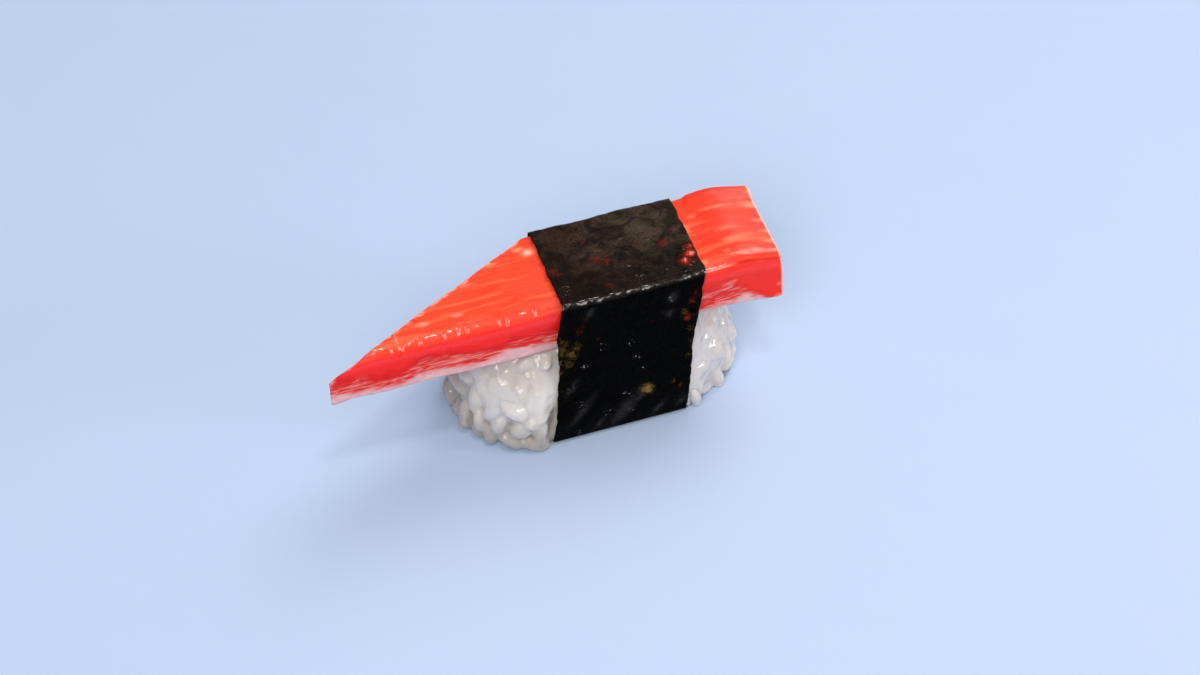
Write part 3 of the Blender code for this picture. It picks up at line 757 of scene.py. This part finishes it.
for vert in mesh.verts:
    p = vert.co
    to_bias = min(-(p - cut_place).dot(cut_normal), -(p - roll_place).dot(roll_normal))
    to_end = STICK_LENGTH / 2 - p.x
    below_skin = min(STICK_TOP - p.z, STICK_WIDTH / 2 - abs(p.y))
    if min(to_bias, to_end) > 0.05 * MM:
        below_skin = 0.0
    if p.y < 0:
        dye_edge, flesh_edge = edge_height(DYE_EDGE, p.x), edge_height(FLESH_EDGE, p.x)
    else:
        dye_edge, flesh_edge = FAR_DYE_EDGE, FAR_FLESH_EDGE
    vert[dye] = min(p.z - dye_edge, DYE_SKIN - below_skin if below_skin > 0 else 1) / MM
    vert[strands] = min(p.z - flesh_edge, STRAND_SKIN - below_skin if below_skin > 0 else 1) / MM
    vert[depth] = below_skin / MM
    vert[margin] = min(to_bias, to_end) / MM
    vert[drop] = (STICK_TOP - p.z) / MM
    vert[pale] = paleness(TOP_MARKS, p.x / MM, p.y / MM) if p.z > STICK_TOP - MM else 0.0
    if p.y < 0 and p.z < STICK_TOP - 2 * MM:
        vert[pale] = paleness(SIDE_MARKS, p.x / MM, p.z / MM)
    vert[wet] = hump(from_ridge(p), 2.2)


def wrinkle_rise(p):
    """How far the skin stands out at a point: blisters, wrinkles, and the right part's ridges."""
    # Strands 4 mm long, and blisters of 1.3 mm along the near upper edge
    rise = 0.05 * noise.noise(Vector((p.x * 260, p.y * 700, p.z * 700)))
    rise += 0.09 * max(0.0, noise.noise(p * 750)) * hump(from_ridge(p), 3.0)
    for number, (x, deep) in enumerate(WRINKLES):
        off = p.x / MM - x + 0.3 * math.sin(number * 2.1) * (p.z - STICK_TOP) / MM
        across = 0.14 * hump(off - 0.5, 0.3) - 0.16 * hump(off, 0.3)
        rise += deep * across * math.exp(-((from_ridge(p) / 1.5) ** 4))
    if p.y > 0:
        # The right part's far strand lies on top of the rest
        step = 0.35 * smoothstep(7 * MM, 9 * MM, p.y) * smoothstep(31.2 * MM, 32.2 * MM, p.x)
        rise += step * smoothstep(STICK_TOP - 2 * MM, STICK_TOP - 0.5 * MM, p.z)
    if p.x > NORI_MIDDLE_X:
        # The ridge over the crease in its near side
        below_top = (STICK_TOP - p.z) / MM
        rise += 0.12 * hump(below_top - 0.95, 0.3) * (p.y < 0)
    return rise * MM


# The hollows are about 8 mm long
sinks = [STICK_RELIEF * (0.5 - noise.noise(vert.co * 120)) for vert in mesh.verts]
rises = [wrinkle_rise(vert.co) for vert in mesh.verts]
for vert, sink, rise in zip(mesh.verts, sinks, rises):
    vert.co += vert.normal * (rise - sink)
for vert in mesh.verts:
    upward = (vert.co.z - middle.z) / (STICK_TOP - middle.z)
    vert.co.z += SWELL * upward * hump(vert.co.x - SWELL_X, SWELL_REACH)
    vert.co.z -= TIP_DROP * upward * hump(vert.co.x - TIP_X, TIP_REACH)
    past = max(0.0, vert.co.x - DROOP_START_X) / (STICK_LENGTH / 2 - DROOP_START_X)
    vert.co.z -= DROOP * past**2
smooth(mesh, mesh.verts, 0.3)
for vert in mesh.verts:
    vert.co.x = min(STICK_LENGTH / 2, vert.co.x)

# Dyed surimi: a moist, fine-grained gel. The dye sits in a skin half a millimetre thick, paler in
# soft lengthwise dashes where the wrapper touched it. Below, it thins out into pink strands.
surimi_gel, tree, shader = new_material("dyed_moist_surimi")
place = add_node("TexCoord", output="Object")
along_bar = add_node("SeparateXYZ", [place])
painted = {
    name: add_node("Attribute", output="Fac", attribute_name=name)
    for name in ("dye", "strands", "depth", "margin", "drop", "pale", "wet")
}
# Noises by the length of their spots along X, Y and Z in mm, their detail and distortion
gel = {}
for name, lengths, detail, distortion in (
    ("ragged", (3.2, 1.4, 1.2), 3, 0.5), ("fibres", (4.6, 0.75, 0.65), 3, 1.0),
    ("cloudy", (2.6, 1.0, 1.0), 3, 0.0), ("stripes", (16, 1.8, 2.2), 2, 0.3),
    ("notches", (2.4, 1.6, 1.6), 3, 0.0), ("grit", (1.3, 0.8, 0.8), 3, 0.0), ("moist", (4, 2, 2), 2, 0.0),
):
    scale = [1 / (length * MM) for length in lengths]
    drawn = add_node("Mapping", {"Vector": place, "Scale": scale})
    gel[name] = add_node(
        "TexNoise", {"Vector": drawn, "Scale": 1.0, "Detail": detail, "Distortion": distortion}
    )


def swung(edge, noise_value, width):
    """A distance made ragged: a noise swings it to both sides by half a width."""
    off_middle = add_node("Math", (noise_value, 0.5), operation="SUBTRACT")
    return add_node("Math", (off_middle, width, edge), operation="MULTIPLY_ADD")


above_dye = swung(painted["dye"], gel["ragged"], 3.2)
dyed = swung(above_dye, gel["fibres"], 1.6)
stained = swung(swung(painted["strands"], gel["ragged"], 2.2), gel["fibres"], 1.0)
soft_marks = swung(painted["pale"], gel["cloudy"], 0.55)
from_cut = swung(painted["margin"], gel["notches"], 2.6)
off_crease = add_node("Math", (painted["drop"], 1.0), operation="SUBTRACT")
off_crease = add_node("Math", [off_crease], operation="ABSOLUTE")
crease = (off_crease, 0.26, 0.08), (along_bar, 26 * MM, 28 * MM, 0.0, 0.7)
# Partly the skin's own deeper red, partly painted shade: a darker red for the near side below the top and
# for the left tip, darkest just above the dye's lower edge
side_red_and_shade = layered("#D9080E", ("#F41F1A", (above_dye, 0.2, 2.4)))
red = layered(
    "#F13C20",
    ("#F54A28", (gel["fibres"], 0.3, 0.7)),
    (side_red_and_shade, (along_bar, -30 * MM, -41 * MM)),
    (side_red_and_shade, (painted["drop"], 0.5, 2.2)),
    ("#EE2C1C", (along_bar, 26 * MM, 34 * MM, 0.0, 0.6)),
    ("#FB6C44", (gel["stripes"], 0.5, 0.66, 0.0, 0.55), (painted["drop"], 2.0, 0.5)),
    ("#FA8A68", (soft_marks, 0.2, 0.75, 0.0, 0.7)),
    ("#F8C4B4", (soft_marks, 0.7, 1.15, 0.0, 0.8)),
    ("#F7AFA0", (from_cut, 0.45, -0.1, 0.0, 0.7)),
    ("#FBCFC4", (painted["margin"], 0.95, 0.35, 0.0, 0.8), (along_bar, 42 * MM, 43 * MM)),
    # Along the crease under the right part's ridge: a painted highlight, pale at first, then painted
    # shade, deep red towards the end
    ("#FBA08C", *crease, (along_bar, 36 * MM, 33 * MM)),
    ("#C00A0C", *crease, (along_bar, 34 * MM, 37 * MM)),
)
strand = layered("#E8847A", ("#DC2522", (gel["fibres"], 0.34, 0.56)))
rolled = swung(painted["depth"], gel["ragged"], 0.9)  # in layers about 1 mm thick
rolled = add_node("Math", (rolled, 1.05), operation="MULTIPLY")
rolled = add_node("Math", [rolled], operation="FRACT")
base = layered(
    "#E5B6B8",
    ("#CFA0A3", (rolled, 0.78, 0.98, 0.0, 0.7)),
    ("#E5A9A8", (gel["cloudy"], 0.4, 0.66, 0.0, 0.6)),
    ("#F1E0DC", (painted["depth"], 0.8, 1.8, 0.0, 0.75)),
    (strand, (stained, -0.5, 1.0)),
    (red, (dyed, -0.9, 0.8)),
)
relief = add_node("Math", (gel["fibres"], 0.6), operation="MULTIPLY")
relief = add_node("Math", (gel["grit"], 0.5, relief), operation="MULTIPLY_ADD")
fill(shader, {
    "Base Color": base,
    "Roughness": all_of((gel["moist"], 0.3, 0.7, 0.28, 0.5)),
    "Normal": add_node("Bump", {"Strength": 0.45, "Distance": 0.22 * MM, "Height": relief}),
    "Coat Weight": all_of((painted["wet"], 0.1, 0.6, 0.05, 0.8)), "Coat Roughness": 0.12,
    "Subsurface Weight": 0.2, "Subsurface Radius": (1.0, 0.3, 0.22), "Subsurface Scale": 0.8 * MM,
    "Specular IOR Level": 0.2,
})

stick = object_from(mesh, "surimi", surimi_gel)
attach(stick, "root")
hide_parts("surimi_stick")


# ---- Nori strip ----
# Nori is seaweed dried on a screen into a sheet like paper: a felt of dark fibres with thin
# spots. Steam from the rice has drawn it tight over the stick and down both sides, with a hard
# fold at the near edge and slack folds at its foot.

NORI_THICKNESS = 0.16 * MM
NORI_RIPPLE = 0.2 * MM
NORI_RAGGED = 0.17 * MM  # of its side edges
NORI_GRID = (72, 270)  # faces across and along the strip
NORI_CLEARANCE = 0.45 * MM  # from the stick and the pad to the sheet's middle
NORI_REACH = 16 * MM  # no ripple stands further out than this
FOLD_RADIUS = 1.1 * MM  # of the hard near fold
# Thin spots that show the red stick: X and Y of the top in mm, width, and how far they show. The
# strongest are wet blisters by the near right corner.
TOP_SPOTS = (
    (10.4, -1.2, 1.6, 0.8), (11.9, -2.1, 1.3, 0.75), (9.3, 4.2, 1.8, 0.4), (1.6, -1.4, 1.5, 0.75),
    (2.6, -2.6, 1.1, 0.6), (10.5, -8.6, 1.3, 0.6), (18.8, 0.1, 1.5, 0.5), (23.5, -1.2, 1.4, 0.8),
    (26.0, -7.2, 1.5, 1.2), (27.6, -5.7, 1.7, 1.25), (27.9, -3.8, 1.4, 1.1), (26.8, 1.6, 1.4, 0.5),
    (24.3, 8.8, 1.8, 0.4), (13.7, 5.5, 1.8, 0.35), (25.2, 5.0, 1.8, 0.35),
)
BLISTERS = [spot for spot in TOP_SPOTS if spot[3] > 1]
BLISTER_RISE = 0.3 * MM
# The same on the near side, by X and height
SIDE_SPOTS = (
    (24.3, 22.7, 0.9, 1.0), (25.6, 26.1, 0.8, 0.85), (26.5, 27.6, 0.9, 0.6), (3.3, 25.6, 1.5, 0.5),
    (2.5, 21.9, 0.6, 0.75), (6.7, 22.8, 0.5, 0.55), (6.6, 18.1, 1.0, 0.4), (21.8, 7.8, 0.6, 0.75),
    (17.4, 23.8, 1.2, 0.35),
)
# Where the near side lets light through olive, and, the strongest, one tan spot where it comes
# through a hole
OLIVE_SPOTS = (
    (-0.2, 23.6, 1.4, 0.8), (2.3, 22.2, 1.2, 0.8), (0.9, 20.7, 1.7, 0.9), (-1.2, 21.9, 1.5, 0.9),
    (-1.8, 19.6, 1.3, 0.9), (0.2, 19.0, 1.5, 0.7), (-1.6, 17.4, 1.1, 0.8), (23.9, 14.2, 0.7, 1.0),
    (24.0, 24.0, 1.0, 0.8), (24.9, 20.4, 1.0, 0.7), (25.0, 17.4, 0.9, 0.6), (20.6, 9.2, 0.7, 0.6),
    (15.1, 8.8, 1.5, 1.6),
)
# Painted sheen, a dull grey in streaks on the near side: X and height of a streak's middle in mm,
# half length, half width
PAINTED_SHEEN_STREAKS = (
    (1.8, 7.2, 3.2, 0.7), (10.3, 5.0, 4.0, 1.2), (13.4, 7.2, 1.6, 0.5), (17.2, 3.4, 1.8, 0.6),
    (5.4, 3.2, 1.6, 0.5), (21.8, 3.6, 1.3, 0.5), (5.6, 28.9, 1.3, 0.6), (21.9, 28.0, 1.0, 0.8),
    (21.0, 24.6, 0.7, 0.7), (0.6, 13.4, 1.6, 0.5),
)
STREAK_TURN = math.radians(48)  # they climb to the right
# The felt's fibres: how they lie in degrees, length and width in mm, how much they show, colour
FELT_FIBRES = (
    (18, 3.0, 0.34, 0.55, "#5A483A"), (-42, 2.6, 0.3, 0.5, "#675547"), (64, 2.2, 0.28, 0.45, "#53453C"),
    (-12, 4.6, 0.6, 0.75, "#100A07"), (40, 3.6, 0.7, 0.65, "#150D0A"), (8, 1.8, 0.22, 0.5, "#6A5545"),
)
# Groups of tiny pale flecks that are painted glints: X and Y of the top, and X and height of the
# near side, in mm
TOP_PAINTED_GLINTS = (
    (2.5, -6.6), (2.2, -8.2), (15.2, -4.6), (22.9, -8.0), (21.9, 0.0), (16.7, -8.2), (26.4, -9.2),
    (27.5, -6.3), (27.4, -3.9), (28.0, -8.4), (24.6, -9.6),
)
SIDE_PAINTED_GLINTS = (
    (-0.3, 10.4), (1.7, 9.4), (0.2, 13.0), (3.5, 17.7), (7.1, 5.5), (14.7, 14.2), (14.0, 16.9),
    (12.7, 20.2), (22.0, 27.7), (7.1, 20.9), (11.0, 9.0), (11.7, 5.1), (1.2, 2.2),
)
GLINT_GROUP = (0.9, 1.0)  # width of a group in mm, and how far it shows


def stick_section():
    """Points in the YZ plane round the upper edges of the stick."""
    points = []
    for side, radius in ((-1, FOLD_RADIUS), (1, STICK_FAR_RADIUS)):
        for step in range(13):
            turn = math.radians(90) * step / 12
            y = STICK_WIDTH / 2 - radius * (1 - math.cos(turn))
            z = STICK_TOP - radius * (1 - math.sin(turn))
            points.append(Vector((side * y, z)))
    return points


def pad_section():
    """Points in the YZ plane round the pad at its widest, above the recess for the strip's ends."""
    points = []
    for step in range(120):
        turn = math.radians(3) * step
        v, w = math.cos(turn), math.sin(turn)
        reach = section_reach(v, w)
        y = (PAD_HALF_WIDTH - PAD_PINCH) * v / reach
        z = PAD_WAIST + (PAD_CROWN if w > 0 else PAD_FOOT) * w / reach
        points.append(Vector((y, min(PAD_TOP, max(RECESS_TOP, z)))))
    return points


def strip_line():
    """The strip's middle line in the YZ plane, from its near end to its far end, drawn tight."""
    held = stick_section() + pad_section()
    line = []
    for step in range(1, 360):
        turn = math.radians(1) * step
        outward = Vector((-math.sin(turn), -math.cos(turn)))
        line.append(max(held, key=outward.dot) + outward * NORI_CLEARANCE)
    near_end = Vector((-PAD_HALF_WIDTH + NORI_TUCK, line[0].y))
    far_end = Vector((PAD_HALF_WIDTH - NORI_TUCK, line[-1].y))
    return [near_end, *line, far_end]


line = strip_line()
lengths = [(b - a).length for a, b in zip(line, line[1:])]
NORI_LENGTH = sum(lengths)


def along(share):
    """The point at a share of the line's length, and the direction across the line there."""
    left = share * NORI_LENGTH
    for a, b, length in zip(line, line[1:], lengths):
        if left <= length and length > 0:
            break
        left -= length
    way = (b - a).normalized()
    return a + way * min(left, length), Vector((-way.y, way.x))


corner = max(range(len(line)), key=lambda number: line[number].y - line[number].x)
FOLD_RUN = sum(lengths[:corner]) / MM  # from the near end to the hard fold


def shown(spots, x, second):
    """How strongly the drawn spots show at a place, given in mm."""
    return max(
        show * math.exp(-((x - a) ** 2 + (second - b) ** 2) / width**2) for a, b, width, show in spots
    )


def painted_sheen_share(x, height):
    """1 in the middle of a painted sheen streak of the near side, at a place given in mm."""
    most = 0.0
    for a, b, long, wide in PAINTED_SHEEN_STREAKS:
        past = (x - a) * math.cos(STREAK_TURN) + (height - b) * math.sin(STREAK_TURN)
        off = (height - b) * math.cos(STREAK_TURN) - (x - a) * math.sin(STREAK_TURN)
        most = max(most, math.exp(-((past / long) ** 2) - (off / wide) ** 2))
    return most


def sheet_relief(x, run, share, point):
    """How far in m the sheet stands out of its line: ripples, crinkles, and folds at its foot."""
    # Ripples 8 mm long, then crinkles of 2 mm and of 1 mm, and others along the hard fold
    on_fold = hump(run - FOLD_RUN, 0.8)
    relief = noise.noise(Vector((x * 130, share * 11, 2.1))) * NORI_RIPPLE
    for height, across, down, seed in (
        (0.1, 420, 0.45, 5.2), (0.06, 1100, 1.2, 9.2), (0.12 * on_fold, 900, 0.4, 4.4)
    ):
        relief += height * MM * noise.noise(Vector((x * across, run * down, seed)))
    if point.y > STICK_TOP - MM:
        crinkle = 0.7 + noise.noise(Vector((x * 1500, run * 1.5, 6.6)))
        relief += BLISTER_RISE * shown(BLISTERS, x / MM, point.x / MM) * crinkle
    if point.x < 0:
        slant = 0.75 * x / MM - 0.65 * point.y / MM
        folded = 0.28 * MM * (0.3 + noise.noise(Vector((slant * 0.45, run * 0.04, 1.0))))
        relief += folded * smoothstep(12 * MM, 6 * MM, point.y)
    return relief * smoothstep(0.08, 0.14, share) * smoothstep(0.92, 0.86, share)


mesh = bmesh.new()
bmesh.ops.create_grid(mesh, x_segments=NORI_GRID[0], y_segments=NORI_GRID[1], size=1.0)
flat = mesh.verts.layers.float_vector.new("flat")  # the sheet laid flat: mm across and along it
# How strongly each kind of drawn spot shows, the painted sheen and painted glints among them, then
# mm past the hard near fold, and mm from the nearest side edge
thin, olive, painted_sheen, painted_glint_share, fold, fringe = add_layers(
    mesh, "thin", "olive", "painted_sheen", "painted_glint_share", "fold", "fringe"
)
top_glint_groups = [spot + GLINT_GROUP for spot in TOP_PAINTED_GLINTS]
side_glint_groups = [spot + GLINT_GROUP for spot in SIDE_PAINTED_GLINTS]
for vert in mesh.verts:
    across, share = vert.co.x, (vert.co.y + 1) / 2
    point, outward = along(share)
    left, right = strip_edges(*point)
    x = left + (right - left) * (across + 1) / 2
    run = share * NORI_LENGTH / MM
    near_rim = max(0.0, abs(across) - 0.8) / 0.2
    # The side edges waver every 1.6 mm, and by less every 1.1 mm and every 0.5 mm
    wobble = noise.noise(Vector((across * 9, share * 60, 0.5)))
    wobble += 0.7 * noise.noise(Vector((across * 3, run * 0.9, 7.5)))
    wobble += 0.5 * noise.noise(Vector((across * 3, run * 2.2, 3.5)))
    x += NORI_RAGGED * wobble * near_rim**3
    on_top = point.y > STICK_TOP - MM
    near_side = not on_top and point.x < 0
    if on_top:
        vert[thin] = shown(TOP_SPOTS, x / MM, point.x / MM)
        vert[painted_glint_share] = shown(top_glint_groups, x / MM, point.x / MM)
    if near_side:
        vert[thin] = shown(SIDE_SPOTS, x / MM, point.y / MM)
        vert[olive] = shown(OLIVE_SPOTS, x / MM, point.y / MM)
        vert[painted_sheen] = painted_sheen_share(x / MM, point.y / MM)
        vert[painted_glint_share] = shown(side_glint_groups, x / MM, point.y / MM)
    vert[flat] = (x, run * MM, 0.0)
    vert[fringe] = (1 - abs(across)) * (right - left) / 2 / MM
    vert[fold] = run - FOLD_RUN
    point = point + outward * sheet_relief(x, run, share, point)
    vert.co = (x, max(-NORI_REACH, min(NORI_REACH, point.x)), point.y)
bmesh.ops.recalc_face_normals(mesh, faces=mesh.faces)

# Damp nori: a matt felt of brown and green-black fibres with curled threads on it. Its sides are
# near black, partly damp and partly painted shade; its top's browns carry a painted sheen, and a
# painted dull grey sheen lies in streaks on its folds. The red stick shows through its thin spots.
# A painted highlight runs along its hard fold as a pale broken line, and pale flecks are painted glints.
nori_felt, tree, shader = new_material("damp_nori_sheet")
sheet = add_node("Attribute", output="Vector", attribute_name="flat")
place = add_node("TexCoord", output="Object")
along_stick, depth_in, height = add_node("SeparateXYZ", [place]).node.outputs
painted = {
    name: add_node("Attribute", output="Fac", attribute_name=name)
    for name in ("thin", "olive", "painted_sheen", "painted_glint_share", "fold", "fringe")
}
# Noises over the flat sheet, by the size of their spots in mm, their detail and distortion
felt = {}
for name, size, detail, distortion in (
    ("mottle", 5.0, 5, 0.8), ("fibre", 1.4, 6, 2.0), ("haze", 9.0, 2, 0.0), ("pits", 2.6, 4, 0.6),
    ("green", 2.2, 3, 1.2), ("patches", 4.4, 4, 1.2), ("tint", 1.0, 3, 1.0), ("worn", 1.1, 1, 0.0),
    ("dust", 0.5, 1, 0.0), ("flecks", 0.7, 1, 0.0), ("wander", 2.2, 3, 0.0), ("breaks", 1.1, 3, 0.0),
    ("reach", 7.0, 1, 0.0), ("grit", 0.6, 3, 0.0),
):
    scale = 1 / (size * MM)
    felt[name] = add_node(
        "TexNoise", {"Vector": sheet, "Scale": scale, "Detail": detail, "Distortion": distortion}
    )


def lying_fibres(turn, length, width):
    """Short fibres that lie one way in the sheet: the peaks of a noise drawn out along them.

    They are given, as are the threads below, as parts of a layer's share.
    """
    drawn = add_node(
        "Mapping",
        {"Vector": sheet, "Rotation": (0, 0, math.radians(turn)), "Scale": (length * MM, width * MM, MM)},
        vector_type="TEXTURE",
    )
    drawn = add_node("TexNoise", {"Vector": drawn, "Scale": 1.0, "Detail": 3, "Distortion": 2.0})
    groups = add_node("TexNoise", {"Vector": sheet, "Scale": 1 / (1.6 * length * MM), "Detail": 2})
    return (drawn, 0.54, 0.7), (groups, 0.4, 0.58)


def threads(size, width, broken):
    """Curled threads: the thin lines where a noise passes its middle value, broken by another."""
    scale = 1 / (size * MM)
    curls = add_node("TexNoise", {"Vector": sheet, "Scale": scale, "Detail": 2, "Distortion": 1.6})
    off_middle = add_node("Math", (curls, 0.5), operation="SUBTRACT")
    off_middle = add_node("Math", [off_middle], operation="ABSOLUTE")
    return (off_middle, width, 0.0), (broken, 0.42, 0.6)


near_fold = swung(depth_in, felt["mottle"], 16 * MM)
# The top's browns: the felt's own colours, lightened in part as a painted sheen
dark = layered(
    "#0F0907",
    ("#2D1D16", (felt["mottle"], 0.38, 0.62)),
    ("#453228", (felt["fibre"], 0.42, 0.7, 0.0, 0.7)),
    # Painted sheen: a grey haze in patches over the top
    ("#4A3E37", (felt["haze"], 0.46, 0.64, 0.0, 0.35)),
    ("#0D0806", (felt["pits"], 0.56, 0.66, 0.0, 0.8)),
    # Painted sheen: greyer over the right and far part of the top
    (
        "#4E473F", (along_stick, 8 * MM, 20 * MM), (depth_in, -4 * MM, 5 * MM),
        (felt["mottle"], 0.35, 0.6, 0.1, 0.6),
    ),
    *((colour, *lying_fibres(*lie), (share,)) for *lie, share, colour in FELT_FIBRES),
    ("#6F5A46", *threads(3.4, 0.02, felt["haze"]), (0.3,)),
    ("#3A3620", (along_stick, 13 * MM, 21 * MM), (felt["green"], 0.5, 0.62, 0.0, 0.6)),
    ("#1B0F0A", (along_stick, 12 * MM, 2 * MM, 0.0, 0.5)),
    ("#0E0806", (felt["patches"], 0.45, 0.62, 0.15, 0.75)),
    ("#0B0705", (near_fold, 2 * MM, -8 * MM, 0.0, 0.7)),
    # Painted highlight: a thin pale grey line along the far upper fold
    ("#77747A", (depth_in, 10.2 * MM, 10.9 * MM), (height, 31.0 * MM, 31.5 * MM, 0.0, 0.5)),
)
# Near black over the sides: partly damp, partly painted shade
wet = layered("#010101", ("#0C0804", (felt["fibre"], 0.5, 0.75)))
# Light comes through olive at the side edges and in spots, and red where the sheet is thin
edge_glow = all_of((painted["fringe"], 2.5, 0.0, 0.0, 0.3), (height, 30 * MM, 28 * MM))
olive_glow = add_node("Math", (painted["olive"], edge_glow), operation="MAXIMUM")
olive_glow = swung(olive_glow, felt["fibre"], 1.6)
olive_tint = layered("#221C05", ("#55430F", (felt["tint"], 0.4, 0.62)))
light_through_hole = swung(painted["olive"], felt["fibre"], 1.6)
red_glow = swung(painted["thin"], felt["fibre"], 1.1)
red_tint = layered(
    "#6E1C10", ("#DC2E16", (red_glow, 0.85, 1.2)), ("#1A0906", *threads(1.6, 0.07, felt["worn"]))
)
flecks = all_of(
    *threads(1.2, 0.06, felt["dust"]), (felt["flecks"], 0.52, 0.62), (painted["painted_glint_share"], 0.2, 0.8)
)
off_fold = swung(painted["fold"], felt["wander"], 1.2)
off_fold = add_node("Math", [off_fold], operation="ABSOLUTE")
base = layered(
    dark,
    # Painted shade in part: near black on the sides, damp as well
    (wet, (height, 31.4 * MM, 30.4 * MM), (depth_in, 10 * MM, 14 * MM, 1.0, 0.5)),
    (olive_tint, (olive_glow, 0.3, 1.0, 0.0, 0.8)),
    # Painted light: tan where light comes through a hole
    ("#7A5E34", (light_through_hole, 1.05, 1.4, 0.0, 0.9)),
    (red_tint, (red_glow, 0.25, 1.0, 0.0, 0.72)),
    # Painted sheen: dull grey streaks on the near side
    ("#2B292B", (painted["painted_sheen"],), (felt["fibre"], 0.3, 0.6, 0.2, 1.0)),
    # Painted glints: tiny pale flecks in small groups
    ("#9A9792", (flecks,)),
    # Painted highlight: a pale broken line along the hard near fold
    (
        "#A7A19C", (off_fold, 0.32, 0.04, 0.0, 0.85), (felt["breaks"], 0.44, 0.62),
        (felt["reach"], 0.38, 0.58, 0.15, 1.0),
    ),
)
relief = add_node("Math", (felt["fibre"], 0.8, painted["thin"]), operation="MULTIPLY_ADD")
relief = add_node("Math", (felt["grit"], 0.4, relief), operation="MULTIPLY_ADD")
shine = all_of((off_fold, 0.9, 0.1, 0.0, 0.7))
shine = add_node("Math", (shine, all_of((painted["thin"], 0.9, 1.1))), operation="MAXIMUM")
fill(shader, {
    "Base Color": base,
    "Roughness": all_of((felt["mottle"], 0.3, 0.7, 0.34, 0.58)),
    "Normal": add_node("Bump", {"Strength": 0.8, "Distance": 0.18 * MM, "Height": relief}),
    "Coat Weight": add_node("Math", (shine, flecks), operation="MAXIMUM"), "Coat Roughness": 0.14,
    "Specular IOR Level": 0.03,
})

nori = object_from(mesh, "nori", nori_felt)
sheet_body = nori.modifiers.new("thickness", "SOLIDIFY")
sheet_body.thickness = NORI_THICKNESS
sheet_body.offset = 0.0
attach(nori, "root")
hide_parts("nori_band")
